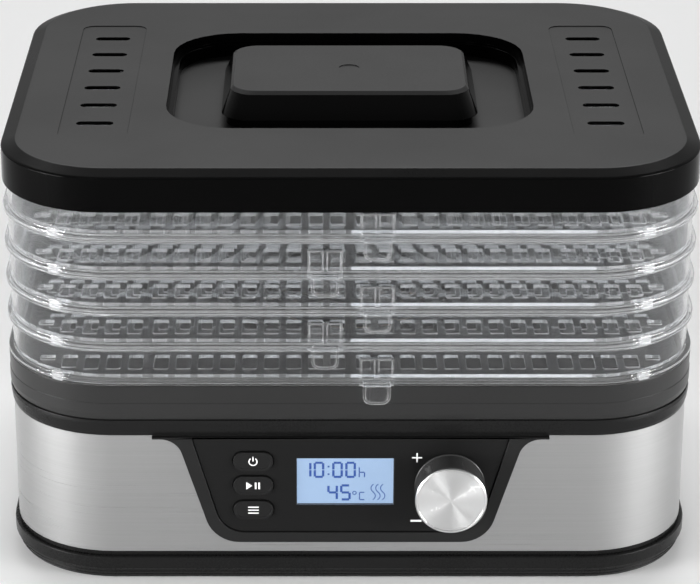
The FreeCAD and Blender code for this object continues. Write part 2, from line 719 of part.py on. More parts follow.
def main():
    os.makedirs("parts", exist_ok=True)
    for number in range(1, TRAY_COUNT + 1):
        save("tray_%d" % number, tray(number))
    save("lid_shell", lid_shell())
    save("lid_handle", lid_handle())
    save("handle_screws", handle_screws())
    save("bottom_pan", bottom_pan())
    save("rubber_feet", rubber_feet())
    save("steel_wrap", steel_wrap())
    save("lip_ring", lip_ring())
    save("upper_housing", upper_housing())
    save("case_screws", case_screws())
    save("cord_gland", cord_gland())
    save("panel_frame", panel_frame())
    save("panel_fascia", panel_fascia())
    save("display_window", display_window())
    save("lcd_module", lcd_module())
    for name, z in zip(("button_power", "button_start", "button_set"), BUTTON_Z):
        save(name, push_button(z))
    save("control_board", control_board())
    save("board_carrier", board_carrier())
    save("board_screws", board_screws())
    save("tact_switches", tact_switches())
    save("encoder_body", encoder_body())
    save("encoder_shaft", encoder_shaft())
    save("knob_body", knob_body())
    save("knob_cap", knob_cap())
    save("motor_bridge", motor_bridge())
    save("fan_motor", fan_motor())
    save("motor_shaft", motor_shaft())
    save("fan_impeller", fan_impeller())
    save("fan_shroud", fan_shroud())
    save("heater_frame", heater_frame())
    save("heater_coil", heater_coil())
    save("thermal_cutout", thermal_cutout())
    save("air_grille", air_grille())
    save("power_board", power_board())


main()
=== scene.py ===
"""Food dehydrator: five clear trays under a black lid, on a fan base with a steel band."""
import math

import bmesh
import bpy
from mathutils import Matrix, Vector


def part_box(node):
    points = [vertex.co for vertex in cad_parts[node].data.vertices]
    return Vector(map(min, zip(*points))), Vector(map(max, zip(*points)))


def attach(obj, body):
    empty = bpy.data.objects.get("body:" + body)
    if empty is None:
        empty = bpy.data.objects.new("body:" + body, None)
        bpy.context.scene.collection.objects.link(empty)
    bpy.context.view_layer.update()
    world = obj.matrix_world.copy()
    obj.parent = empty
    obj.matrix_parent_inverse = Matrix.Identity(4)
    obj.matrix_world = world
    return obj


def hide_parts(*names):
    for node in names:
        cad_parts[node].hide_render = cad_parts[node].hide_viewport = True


bl_info = {
    "name": "Food Dehydrator",
    "version": (1, 0, 0),
    "blender": (4, 5, 0),
    "location": "View3D > Sidebar > Dehydrator",
    "description": "Models the lid, trays, base, control panel and knob of a food dehydrator",
    "category": "Add Mesh",
}

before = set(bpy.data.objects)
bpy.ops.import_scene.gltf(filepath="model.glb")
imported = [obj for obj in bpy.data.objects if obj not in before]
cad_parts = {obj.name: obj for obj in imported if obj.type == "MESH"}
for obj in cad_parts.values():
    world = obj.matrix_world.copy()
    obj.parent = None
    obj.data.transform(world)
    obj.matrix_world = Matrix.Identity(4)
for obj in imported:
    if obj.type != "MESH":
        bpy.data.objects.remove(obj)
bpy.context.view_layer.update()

MM = 0.001
QUARTER = math.radians(90)
FULL_TURN = math.radians(360)
SHADE_ANGLE = math.radians(38)
HAIR = 0.05

# Corners of the CAD nodes that pieces are placed from, in metres
SHOULDER_LOW, SHOULDER_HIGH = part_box("upper_housing")
RIM_LOW, RIM_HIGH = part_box("lid_shell")
STEEL_LOW, STEEL_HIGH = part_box("steel_wrap")
PAN_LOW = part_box("bottom_pan")[0]
HANDLE_LOW, HANDLE_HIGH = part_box("lid_handle")
CAP_LOW, CAP_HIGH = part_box("knob_cap")
CENTRE_Y = (SHOULDER_LOW.y + SHOULDER_HIGH.y) / 2

# Places in millimetres; the whole casing is built about its own middle
MID_Y = CENTRE_Y / MM
LID_TOP = RIM_HIGH.z / MM
STACK_BASE = SHOULDER_HIGH.z / MM
STEEL_FRONT = STEEL_LOW.y / MM
FASCIA_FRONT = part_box("panel_fascia")[0].y / MM
FACE_BACK = STEEL_FRONT - 0.6
KNOB_X = (CAP_LOW.x + CAP_HIGH.x) / 2 / MM
KNOB_Z = (CAP_LOW.z + CAP_HIGH.z) / 2 / MM
TRAY_COUNT = 5
CORNER_STEPS = 14


def size(name, text, default, low, high):
    """A length property in metres."""
    return bpy.props.FloatProperty(name=name, description=text, default=default, min=low, max=high,
                                   unit="LENGTH", subtype="DISTANCE", precision=4)


def colour(name, text, default):
    """A colour property, linear red, green and blue."""
    return bpy.props.FloatVectorProperty(name=name, description=text, default=default, min=0.0,
                                         max=1.0, size=3, subtype="COLOR")


class DehydratorSizes(bpy.types.PropertyGroup):
    """Sizes shared by several pieces."""

    case_width: size("Case width", "Width over the lid and tray flanges",
                     RIM_HIGH.x - RIM_LOW.x, 0.2, 0.6)
    case_depth: size("Case depth", "Depth over the lid and tray flanges",
                     RIM_HIGH.y - RIM_LOW.y, 0.15, 0.6)
    corner_radius: size("Corner radius", "Plan radius of the case corners", 0.0535, 0.02, 0.1)
    tray_pitch: size("Tray pitch", "Height each tray adds to the stack", 0.0188, 0.01, 0.04)
    slot_width: size("Slot width", "Width of a slot in the tray floor", 0.0078, 0.003, 0.012)
    slot_length: size("Slot length", "Length of a slot in the tray floor", 0.0165, 0.005, 0.025)
    pan_width: size("Pan width", "Width of the sunk pan round the handle", 0.184, 0.1, 0.25)
    pan_depth: size("Pan depth", "Front to back size of the sunk pan", 0.152, 0.1, 0.2)
    knob_radius: size("Knob radius", "Radius of the control knob", 0.0175, 0.01, 0.03)


class DehydratorColours(bpy.types.PropertyGroup):
    """Colours of the finishes."""

    lid_top: colour("Lid top", "Grained black of the lid and grip tops", (0.008, 0.008, 0.008))
    # Darker copy of the lid black for the rim, pan walls and ledge: painted shade, with a glossier
    # finish
    lid_rim: colour("Lid rim", "Glossy black of the lid's rim", (0.0012, 0.0012, 0.0012))
    # Darker copy of the lid black for the handle's sides: painted shade, with a glossier finish;
    # its upward faces take the lid top black
    handle: colour("Handle", "Gloss black of the handle", (0.003, 0.003, 0.003))
    shoulder: colour("Shoulder", "Dark grey of the base shoulder", (0.019, 0.019, 0.019))
    trim: colour("Trim", "Black of the ring and the plinth", (0.008, 0.008, 0.008))
    steel: colour("Steel", "Brushed steel of the band", (0.44, 0.44, 0.44))
    panel_frame: colour("Panel frame", "Charcoal of the panel surround", (0.012, 0.012, 0.012))
    fascia: colour("Fascia", "Black of the panel face", (0.0075, 0.0075, 0.0075))
    display: colour("Display", "Lit blue of the display", (0.37, 0.51, 0.72))
    digits: colour("Digits", "Dark blue of the display's figures", (0.018, 0.08, 0.36))
    clear: colour("Clear plastic", "Tint of the clear trays", (0.93, 0.94, 0.95))
    floor: colour("Floor", "Pale studio floor", (0.90, 0.90, 0.90))


def sizes():
    return bpy.context.scene.dehydrator_sizes


def mm(name):
    """One of the shared sizes in millimetres."""
    return getattr(sizes(), name) / MM


def colours():
    return bpy.context.scene.dehydrator_colours


def tint(rgb):
    """A colour as it is, or the user's colour of that name."""
    return tuple(getattr(colours(), rgb)) if isinstance(rgb, str) else rgb


# ---- shader expressions

class Value:
    """A node's output, which can be used in a sum."""

    def __init__(self, recipe, socket):
        self.recipe = recipe
        self.socket = socket

    def maths(self, operation, first, second):
        return self.recipe.node("ShaderNodeMath", {"operation": operation}, {0: first, 1: second})

    def __add__(self, other):
        return self.maths("ADD", self, other)

    def __radd__(self, other):
        return self.maths("ADD", other, self)

    def __sub__(self, other):
        return self.maths("SUBTRACT", self, other)

    def __rsub__(self, other):
        return self.maths("SUBTRACT", other, self)

    def __mul__(self, other):
        return self.maths("MULTIPLY", self, other)

    def __rmul__(self, other):
        return self.maths("MULTIPLY", other, self)

    def __gt__(self, other):
        return self.maths("GREATER_THAN", self, other)


class Recipe:
    """One procedural material, built node by node."""

    def __init__(self, name, kind="materials"):
        self.material = getattr(bpy.data, kind).new(name)
        self.material.use_nodes = True
        self.tree = self.material.node_tree
        self.tree.nodes.clear()

    def node(self, kind, settings=None, inputs=None, output=0):
        """Adds a node, sets its settings, then its inputs, and gives back one of its outputs."""
        made = self.tree.nodes.new(kind)
        for key, value in (settings or {}).items():
            if key == "stops":
                ramp = made.color_ramp
                for index, (place, grey) in enumerate(value):
                    stop = ramp.elements[index] if index < 2 else ramp.elements.new(place)
                    stop.position = place
                    stop.color = (grey, grey, grey, 1.0)
            else:
                setattr(made, key, value)
        for key, value in (inputs or {}).items():
            socket = made.inputs[key]
            if isinstance(value, Value):
                self.tree.links.new(value.socket, socket)
            elif socket.type == "RGBA" and len(value) == 3:
                socket.default_value = (*value, 1.0)
            else:
                socket.default_value = value
        return Value(self, made.outputs[output]) if made.outputs else None

    def place(self, stretch=(1.0, 1.0, 1.0), shift=(0.0, 0.0, 0.0)):
        """Object coordinates, stretched and shifted."""
        where = self.node("ShaderNodeTexCoord", output="Object")
        return self.node("ShaderNodeMapping", {},
                         {"Vector": where, "Location": shift, "Scale": stretch})

    def noise(self, scale, detail=2.0, stretch=(1.0, 1.0, 1.0), roughness=0.5):
        return self.node("ShaderNodeTexNoise", {}, {"Vector": self.place(stretch), "Scale": scale,
                                                    "Detail": detail, "Roughness": roughness})

    def between(self, factor, low, high):
        """A colour from low to high by factor."""
        return self.node("ShaderNodeMix", {"data_type": "RGBA"}, {0: factor, 6: low, 7: high}, 2)

    def bump(self, height, strength, distance):
        return self.node("ShaderNodeBump", {}, {"Strength": strength, "Distance": distance,
                                                "Height": height})

    def principled(self, **inputs):
        """A principled shader, with its sockets named in lower case and underscores."""
        named_inputs = {key.replace("_", " ").title().replace("Ior", "IOR"): value
                        for key, value in inputs.items()}
        return self.node("ShaderNodeBsdfPrincipled", {}, named_inputs)

    def mixed(self, factor, first, second):
        """A shader from first to second by factor."""
        return self.node("ShaderNodeMixShader", {}, {0: factor, 1: first, 2: second})

    def finish(self, shader, output="ShaderNodeOutputMaterial"):
        self.node(output, {}, {"Surface": shader})
        return self.material


def scaled(rgb, factor):
    return tuple(min(1.0, part * factor) for part in rgb)


FINISHES = {}


def finish(name):
    """A material by its finish's name, made on first use."""
    if name not in FINISHES:
        maker, *rest = RECIPES[name]
        FINISHES[name] = maker(name, *rest)
    return FINISHES[name]


def plastic(name, rgb, rough, grain, depth, sheen=0.5, spread=0.12):
    """Moulded plastic: a fine spark-eroded grain, faint flow marks and uneven gloss."""
    rgb = tint(rgb)
    recipe = Recipe(name)
    flow = recipe.noise(14.0, 3.0)
    grit = recipe.noise(grain, 2.0)
    shade = recipe.between(flow, scaled(rgb, 1 - spread), scaled(rgb, 1 + spread))
    gloss = (flow - 0.5) * (0.3 * rough) + (grit - 0.5) * (0.25 * rough) + rough
    return recipe.finish(recipe.principled(
        base_color=shade, roughness=gloss, specular_ior_level=sheen,
        normal=recipe.bump(grit, 0.35, depth)))


def brushed(name, rgb, rough, stretch, depth, spread=0.14):
    """Brushed metal: long streaks along the stretch's slow directions."""
    rgb = tint(rgb)
    recipe = Recipe(name)
    streak = recipe.noise(1.0, 5.0, stretch, 0.62)
    cloud = recipe.noise(9.0, 2.0)
    tone = streak * 0.75 + cloud * 0.25
    shade = recipe.between(tone, scaled(rgb, 1 - spread), scaled(rgb, 1 + spread))
    gloss = (streak - 0.5) * 0.16 + (cloud - 0.5) * 0.06 + rough
    return recipe.finish(recipe.principled(
        base_color=shade, metallic=1.0, roughness=gloss, normal=recipe.bump(streak, 0.35, depth)))


def spun(name, rgb, rough):
    """Spun aluminium: fine turned rings about the knob's axis."""
    recipe = Recipe(name)
    centred = recipe.place(shift=(-KNOB_X * MM, 0.0, -KNOB_Z * MM))
    flat = recipe.node("ShaderNodeVectorMath", {"operation": "MULTIPLY"},
                       {0: centred, 1: (1.0, 0.0, 1.0)})
    radius = recipe.node("ShaderNodeVectorMath", {"operation": "LENGTH"}, {0: flat}, 1)
    rings = recipe.node("ShaderNodeMath", {"operation": "SINE"}, {0: radius * 21000.0})
    wander = recipe.node("ShaderNodeTexNoise", {"noise_dimensions": "1D"},
                         {"W": radius, "Scale": 2600.0, "Detail": 4.0})
    tone = rings * 0.5 + wander * 0.6 + 0.2
    shade = recipe.between(tone, scaled(rgb, 0.86), scaled(rgb, 1.1))
    return recipe.finish(recipe.principled(
        base_color=shade, metallic=1.0, roughness=(wander - 0.5) * 0.1 + rough,
        normal=recipe.bump(tone, 0.6, 0.0001)))


def see_through(name, gloss, haze):
    """Thin clear plastic: open, with a mirror skin that strengthens at grazing angles."""
    recipe = Recipe(name)
    cloud = recipe.noise(70.0, 3.0)
    skin = recipe.node("ShaderNodeFresnel", {}, {"IOR": 1.5})
    open_side = recipe.node("ShaderNodeBsdfTransparent", {}, {"Color": tint("clear")})
    solid = recipe.principled(
        base_color=recipe.between(cloud, scaled(haze, 0.92), haze), roughness=cloud * 0.08 + 0.04,
        specular_ior_level=1.0)
    return recipe.finish(recipe.mixed(skin * gloss, open_side, solid))


def clear_moulding(name, rgb, rough, highlight_share):
    """Clear moulded plastic that bends what is seen through it, with a share of pale diffuse white
    mixed in as a painted highlight.
    """
    recipe = Recipe(name)
    ripple = recipe.noise(40.0, 2.0)
    shadow_ray = recipe.node("ShaderNodeLightPath", output="Is Shadow Ray")
    open_side = recipe.node("ShaderNodeBsdfTransparent", {}, {"Color": tint("clear")})
    solid = recipe.principled(
        base_color=rgb, roughness=ripple * 0.02 + rough, ior=1.45, transmission_weight=1.0,
        normal=recipe.bump(ripple, 0.015, 0.0003))
    if highlight_share:
        # Pale diffuse white mixed into the clear plastic: a painted highlight
        pale = recipe.principled(base_color=(0.92, 0.92, 0.92), roughness=ripple * 0.1 + 0.25)
        solid = recipe.mixed(ripple * (0.4 * highlight_share) + highlight_share, solid, pale)
    return recipe.finish(recipe.mixed(shadow_ray, solid, open_side))


def lit(name, rgb, strength):
    """A lit display layer, with a faint cell-by-cell unevenness in its glow."""
    rgb = tint(rgb)
    recipe = Recipe(name)
    cell = recipe.noise(260.0, 2.0)
    glow = recipe.between(cell, scaled(rgb, 0.97), scaled(rgb, 1.03))
    return recipe.finish(recipe.principled(
        base_color=scaled(rgb, 0.2), roughness=cell * 0.1 + 0.3, emission_color=glow,
        emission_strength=strength))


def ink(name, rgb, rough):
    """Printed marks, slightly uneven."""
    rgb = tint(rgb)
    recipe = Recipe(name)
    speck = recipe.noise(900.0, 2.0)
    return recipe.finish(recipe.principled(
        base_color=recipe.between(speck, scaled(rgb, 0.94), rgb), roughness=speck * 0.1 + rough))


def circuit(name, rgb):
    """Solder mask over copper tracks."""
    recipe = Recipe(name)
    cells = recipe.node("ShaderNodeTexVoronoi", {"distance": "MANHATTAN"},
                        {"Vector": recipe.place(), "Scale": 260.0})
    track = cells > 0.42
    shade = recipe.between(track, rgb, scaled(rgb, 1.9))
    return recipe.finish(recipe.principled(
        base_color=shade, roughness=0.32 + track * 0.1, normal=recipe.bump(track, 0.2, 0.0001)))


def studio_floor(name, rgb):
    """Smooth pale paper with the faintest mottle."""
    rgb = tint(rgb)
    recipe = Recipe(name)
    mottle = recipe.noise(3.0, 3.0)
    return recipe.finish(recipe.principled(
        base_color=recipe.between(mottle, scaled(rgb, 0.995), rgb), roughness=mottle * 0.1 + 0.6,
        specular_ior_level=0.2))


RECIPES = {
    "lid satin": (plastic, "lid_top", 0.50, 1500.0, 0.00004, 0.22, 0.05),
    # The next two finishes are darker copies of the lid black for the upright faces and the sloped
    # margin: painted shade, with glossier finishes
    "lid gloss": (plastic, "lid_rim", 0.14, 900.0, 0.00001, 0.03),
    "lid margin": (plastic, (0.003, 0.003, 0.003), 0.30, 1200.0, 0.00002, 0.06),
    # Darker copy of the lid black for the handle's sides: painted shade, with a glossier finish
    "handle gloss": (plastic, "handle", 0.18, 1200.0, 0.00002, 0.10),
    "shoulder plastic": (plastic, "shoulder", 0.3, 1100.0, 0.00003, 0.18),
    "trim plastic": (plastic, "trim", 0.28, 1100.0, 0.00003, 0.11),
    "frame plastic": (plastic, "panel_frame", 0.34, 1500.0, 0.00003, 0.15),
    "fascia plastic": (plastic, "fascia", 0.36, 1600.0, 0.00003, 0.12),
    "button plastic": (plastic, (0.010, 0.010, 0.010), 0.32, 1600.0, 0.00003, 0.15),
    "knob plastic": (plastic, (0.036, 0.036, 0.036), 0.25, 1300.0, 0.00002, 0.3),
    "rubber": (plastic, (0.02, 0.02, 0.02), 0.75, 800.0, 0.0001, 0.2),
    "inner plastic": (plastic, (0.045, 0.045, 0.05), 0.5, 900.0, 0.00004),
    "fan plastic": (plastic, (0.03, 0.03, 0.032), 0.45, 900.0, 0.00004),
    "ceramic": (plastic, (0.7, 0.68, 0.62), 0.5, 700.0, 0.00004),
    "mica": (plastic, (0.45, 0.36, 0.24), 0.35, 260.0, 0.0001, 0.5, 0.3),
    "brushed steel": (brushed, "steel", 0.30, (7.0, 7.0, 1700.0), 0.00003),
    "duct steel": (brushed, (0.5, 0.5, 0.5), 0.35, (40.0, 40.0, 400.0), 0.00003),
    "screw steel": (brushed, (0.55, 0.55, 0.56), 0.3, (900.0, 900.0, 300.0), 0.00002),
    "heater wire": (brushed, (0.35, 0.27, 0.2), 0.4, (600.0, 600.0, 600.0), 0.00002, 0.25),
    "spun aluminium": (spun, (0.80, 0.80, 0.80), 0.22),
    "tray clear": (clear_moulding, (0.80, 0.805, 0.81), 0.0, 0.0),
    # Clear plastic with pale white mixed in: a painted highlight on the trays' bevels, flange tops,
    # slot walls and lugs
    "tray edge": (clear_moulding, (0.88, 0.885, 0.89), 0.01, 0.09),
    "display pane": (see_through, 0.25, (0.8, 0.85, 0.9)),
    "display blue": (lit, "display", 1.0),
    "display figures": (lit, "digits", 0.95),
    "white ink": (ink, (0.86, 0.86, 0.86), 0.45),
    "board green": (circuit, (0.01, 0.09, 0.035)),
    "pale floor": (studio_floor, "floor"),
}


# ---- modelling moves

def edit():
    bpy.ops.object.mode_set(mode="EDIT")


def leave():
    bpy.ops.object.mode_set(mode="OBJECT")


def select_everything():
    bpy.ops.mesh.select_all(action="SELECT")


def focus(piece):
    """Makes piece the only one selected and the active one."""
    bpy.ops.object.select_all(action="DESELECT")
    piece.select_set(True)
    bpy.context.view_layer.objects.active = piece


def named(name):
    piece = bpy.context.object
    piece.name = name
    piece.data.name = name
    return piece


def pick(piece, test, kind="faces"):
    """In edit mode, selects only the faces, edges or vertices that pass the test."""
    bpy.ops.mesh.select_mode(type={"faces": "FACE", "edges": "EDGE", "verts": "VERT"}[kind])
    bpy.ops.mesh.select_all(action="DESELECT")
    mesh = bmesh.from_edit_mesh(piece.data)
    for part in getattr(mesh, kind):
        if test(part):
            part.select_set(True)
    bmesh.update_edit_mesh(piece.data)


def middle(part):
    """The middle of a face or an edge, in millimetres."""
    return sum((v.co for v in part.verts), Vector()) / len(part.verts) / MM


def push(x=0.0, y=0.0, z=0.0):
    """Extrudes what is selected by x, y, z millimetres."""
    bpy.ops.mesh.extrude_region_move(TRANSFORM_OT_translate={"value": (x * MM, y * MM, z * MM)})


def heal():
    """Merges doubles and turns every face outwards."""
    select_everything()
    bpy.ops.mesh.remove_doubles(threshold=0.002 * MM)
    bpy.ops.mesh.normals_make_consistent(inside=False)


def cap_openings():
    """Closes every open loop with a face."""
    bpy.ops.mesh.select_mode(type="EDGE")
    bpy.ops.mesh.select_all(action="DESELECT")
    bpy.ops.mesh.select_non_manifold()
    bpy.ops.mesh.edge_face_add()


def draw_line(name, points, closed):
    """Starts a piece as one vertex drawn through points in millimetres, and stays in edit mode."""
    bpy.ops.object.select_all(action="DESELECT")
    bpy.ops.mesh.primitive_plane_add(size=MM)
    piece = named(name)
    edit()
    bpy.ops.mesh.select_mode(type="VERT")
    select_everything()
    bpy.ops.mesh.merge(type="CENTER")
    select_everything()
    bpy.ops.transform.translate(value=Vector(points[0]) * MM)
    for before, after in zip(points, points[1:]):
        push(*(Vector(after) - Vector(before)))
    if closed:
        mesh = bmesh.from_edit_mesh(piece.data)
        mesh.verts.ensure_lookup_table()
        ends = {0, len(mesh.verts) - 1}
        pick(piece, lambda v: v.index in ends, "verts")
        bpy.ops.mesh.edge_face_add()
    select_everything()
    return piece


def rounded(corners, closed=True, steps=4):
    """Points along (u, v, radius) corners, with each radius drawn as a short arc."""
    points = []
    for index, (u, v, radius) in enumerate(corners):
        here = Vector((u, v))
        if radius == 0 or (not closed and index in (0, len(corners) - 1)):
            points.append((u, v))
            continue
        before = (Vector(corners[index - 1][:2]) - here).normalized()
        after = (Vector(corners[(index + 1) % len(corners)][:2]) - here).normalized()
        half = before.angle(after) / 2
        reach = radius / math.tan(half)
        centre = here + (before + after).normalized() * (radius / math.sin(half))
        start = (here + before * reach - centre).normalized()
        end = (here + after * reach - centre).normalized()
        points += [tuple(centre + start.slerp(end, k / steps) * radius) for k in range(steps + 1)]
    return [point for index, point in enumerate(points)
            if (index == 0 and not closed) or math.dist(point, points[index - 1]) > 0.01]


def swept(name, section, closed=True):
    """Carries a section of (inset, height) millimetres once round the case outline."""
    half_depth = mm("case_depth") / 2
    radius = mm("corner_radius")
    points = [(0.0, MID_Y - (half_depth - inset), z) for inset, z in section]
    piece = draw_line(name, points, closed)
    run_x = mm("case_width") / 2 - radius
    run_y = half_depth - radius
    for run, (x, y) in (((run_x, 0), (run_x, -run_y)), ((0, 2 * run_y), (run_x, run_y)),
                        ((-2 * run_x, 0), (-run_x, run_y)), ((0, -2 * run_y), (-run_x, -run_y))):
        push(*run)
        bpy.ops.mesh.spin(steps=CORNER_STEPS, angle=-QUARTER, axis=(0, 0, 1),
                          center=(x * MM, (y + MID_Y) * MM, 0))
    push(run_x)
    heal()
    if not closed:
        cap_openings()
        heal()
    leave()
    return piece


def turned(name, section, centre, axis, steps=48):
    """Turns a section of (radius, height) millimetres about an axis through centre."""
    def point(radius, height):
        if axis == "Y":
            return (centre[0] + radius, height, centre[1])
        return (centre[0] + radius, centre[1], height)

    closed = section[0][0] > 0 or section[-1][0] > 0
    piece = draw_line(name, [point(*place) for place in section], closed)
    bpy.ops.mesh.spin(steps=steps, angle=FULL_TURN, center=Vector(point(0.0, 0.0)) * MM,
                      axis=(0, 1, 0) if axis == "Y" else (0, 0, 1))
    heal()
    leave()
    return piece


def block_corners(width, height, radius, u=0.0, v=0.0):
    """The corners of a rounded rectangle about (u, v)."""
    w = width / 2
    h = height / 2
    return [(u - w, v - h, radius), (u + w, v - h, radius),
            (u + w, v + h, radius), (u - w, v + h, radius)]


def cylinder(radius, start, end):
    """The section of a plain cylinder between two heights, for turning."""
    return [(0, start), (radius, start), (radius, end), (0, end)]


def outline_plate(name, corners, y0, y1, steps=5):
    """A plate standing upright between depths y0 and y1, from (x, z, radius) corners."""
    points = [(x, y0, z) for x, z in rounded(corners, True, steps)]
    piece = draw_line(name, points, True)
    bpy.ops.mesh.edge_face_add()
    push(0, y1 - y0)
    heal()
    leave()
    return piece


def flat_plate(name, width, depth, radius, z0, z1, x=0.0, y=0.0, steps=8):
    """A rounded plate lying flat between heights z0 and z1, about the case centre."""
    corners = block_corners(width, depth, radius, x, y + MID_Y)
    piece = draw_line(name, [(u, v, z0) for u, v in rounded(corners, True, steps)], True)
    bpy.ops.mesh.edge_face_add()
    push(0, 0, z1 - z0)
    heal()
    leave()
    return piece


def moved(piece, move, **settings):
    """Runs a transform operator on the whole of a piece's mesh."""
    focus(piece)
    edit()
    select_everything()
    move(**settings)
    leave()
    return piece


def shift(piece, x=0.0, y=0.0, z=0.0):
    """Moves a piece's mesh by x, y, z millimetres."""
    return moved(piece, bpy.ops.transform.translate, value=(x * MM, y * MM, z * MM))


def swing(piece, angle, centre):
    """Turns a piece's mesh about an upright axis through a centre in millimetres."""
    return moved(piece, bpy.ops.transform.rotate, value=angle, orient_axis="Z",
                 center_override=Vector(centre) * MM)


def box(name, low, high):
    """A block between two corners in millimetres, with its object at the origin."""
    low, high = Vector(low), Vector(high)
    bpy.ops.object.select_all(action="DESELECT")
    bpy.ops.mesh.primitive_cube_add(size=MM)
    piece = moved(named(name), bpy.ops.transform.resize, value=high - low)
    return moved(piece, bpy.ops.transform.translate, value=(low + high) / 2 * MM)


def copied(piece, name):
    focus(piece)
    bpy.ops.object.duplicate()
    return named(name)


def joined(pieces, name):
    focus(pieces[0])
    for piece in pieces:
        piece.select_set(True)
    if len(pieces) > 1:
        bpy.ops.object.join()
    return named(name)


def apply(piece, kind, **settings):
    """Adds a modifier with its settings and applies it."""
    focus(piece)
    modifier = piece.modifiers.new(kind.title(), kind)
    for key, value in settings.items():
        setattr(modifier, key, value)
    bpy.ops.object.modifier_apply(modifier=modifier.name)
    return piece


def carve(piece, tools, operation="DIFFERENCE"):
    """Cuts the tools out of a piece, or joins them to it, and removes them."""
    for tool in tools:
        apply(piece, "BOOLEAN", operation=operation, solver="EXACT", object=tool)
        bpy.data.objects.remove(tool)
    return piece


def soften(piece, width, segments=2, angle=32.0, material=-1):
    """Rounds the sharp edges and shades the rest smooth."""
    apply(piece, "BEVEL", width=width * MM, segments=segments, limit_method="ANGLE",
          angle_limit=math.radians(angle), material=material, use_clamp_overlap=True)
    return shade(piece)


def shade(piece):
    focus(piece)
    bpy.ops.object.shade_smooth_by_angle(angle=SHADE_ANGLE)
    return apply(piece, "WEIGHTED_NORMAL", keep_sharp=True)


def dress(piece, *names):
    """Gives a piece its finishes in slot order."""
    piece.data.materials.clear()
    for name in names:
        piece.data.materials.append(finish(name))
    return piece


def paint(piece, slot_index, test=lambda face: True):
    """Gives faces that pass the test another of the piece's finishes."""
    for face in piece.data.polygons:
        if test(face):
            face.material_index = slot_index


def settle(piece, body, node):
    """Says what a finished piece moves with, and hides the CAD node it stands for."""
    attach(piece, body)
    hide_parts(node)


# ---- lid

VENT_X = 126.0
VENT_PITCH = 27.0
VENT_COUNT = 6
VENT_SIZE = (18.3, 5.4, 2.7)
RELIEF_SIZE = (34, 178, 6)
MOUTH_RADIUS = 34
WELL_STEP = 3
WELL_SINK = 12.0
SKIN = 2.5
MARGIN_WIDTH = 0.023


def model_lid():
    """The shell: rim, sloped margin, sunk pan, and two rows of vents in shallow reliefs."""
    rim_top = LID_TOP - 3.0
    seat = rim_top - 13.3
    rim_bottom = seat - 4.0
    section = rounded([
        (9.0, LID_TOP - 2.5, 0), (4.2, rim_top - 2.5, 0), (4.2, seat, 0), (2.0, seat, 0),
        (2.0, rim_bottom, 0.4), (0.0, rim_bottom, 0.6), (0.0, rim_top, 1.0),
        (1.0, rim_top + 0.5, 0.4), (7.0, LID_TOP - 0.25, 1.6), (9.5, LID_TOP, 0)], False)
    lid = swept("lid_shell_piece", section, closed=False)
    wide = mm("pan_width")
    deep = mm("pan_depth")
    floor = LID_TOP - WELL_SINK
    above = LID_TOP + 2
    tub = flat_plate("tub", wide + 2 * SKIN, deep + 2 * SKIN, MOUTH_RADIUS + SKIN,
                     floor - 2.3, LID_TOP - 1.0)
    carve(lid, [tub], "UNION")
    tools = [flat_plate("mouth", wide, deep, MOUTH_RADIUS, LID_TOP - 5.0, above),
             flat_plate("well", wide - 2 * WELL_STEP, deep - 2 * WELL_STEP,
                        MOUTH_RADIUS - WELL_STEP, floor, above)]
    for side in (-1, 1):
        tools.append(flat_plate("relief", *RELIEF_SIZE, LID_TOP - 0.5, above,
                                side * VENT_X, steps=4))
    carve(lid, tools)
    slots = []
    for side in (-1, 1):
        for row in range(VENT_COUNT):
            y = (row - (VENT_COUNT - 1) / 2) * VENT_PITCH
            slots.append(flat_plate("vent", *VENT_SIZE, LID_TOP - 5, above, side * VENT_X, y, 5))
    carve(lid, [joined(slots, "vents")])
    soften(lid, 0.45, 2)
    dress(lid, "lid satin", "lid gloss", "lid margin")
    side = sizes().case_width / 2 - MARGIN_WIDTH
    end = sizes().case_depth / 2 - MARGIN_WIDTH

    def is_shaded_wall(face):
        return face.normal.z < 0.5 or floor + 1 < face.center.z / MM < LID_TOP - 1.5

    def is_shaded_margin(face):
        near_edge = abs(face.center.x) > side or abs(face.center.y - CENTRE_Y) > end
        return 0.5 < face.normal.z < 0.97 and face.center.z > (rim_top - 1) * MM and near_edge

    # Painted shade: the upright faces and the pan's walls and ledge take the darker rim black, and
    # the sloped margin takes a black darker than the top
    paint(lid, 1, is_shaded_wall)
    paint(lid, 2, is_shaded_margin)
    settle(lid, "lid", "lid_shell")


NECK_SIZE = (125.0, 88.0)
NECK_RADIUS = 13
LIP_SINK = 6.5
MARK_RADIUS = 5.2


def model_handle():
    """A straight-sided grip over a neck in the pan, with a shallow thumb mark on top."""
    top = HANDLE_HIGH.z / MM
    lip = LID_TOP - LIP_SINK
    grip = flat_plate("lid_handle_piece", *NECK_SIZE, NECK_RADIUS, HANDLE_LOW.z / MM, lip)
    before = (*NECK_SIZE, lip)
    edit()
    for width, depth, z in ((129.5, 94, lip + 0.01), (120.5, 78.5, top - 1.5), (117.5, 73, top)):
        pick(grip, lambda face: face.normal.z > 0.9 and middle(face).z > before[2] - 0.1)
        push(0, 0, z - before[2])
        bpy.ops.transform.resize(value=(width / before[0], depth / before[1], 1.0),
                                 center_override=(0, CENTRE_Y, 0))
        before = (width, depth, z)
    leave()
    mark = turned("mark", cylinder(MARK_RADIUS, top - 0.5, top + 2), (0.0, MID_Y), "Z")
    front_half = box("front_half", (-10, MID_Y - 10, top - 3), (10, MID_Y, top + 4))
    carve(mark, [front_half])
    carve(grip, [mark])
    soften(grip, 0.9, 4, 12.0)
    dress(grip, "handle gloss", "lid satin")
    # Painted shade: the grip's upward faces take the lighter lid top black, and its sides stay in
    # the darker handle black
    paint(grip, 1, lambda face: face.normal.z > 0.8 and face.center.z > (lip + 2) * MM)
    settle(grip, "lid", "lid_handle")


# ---- trays

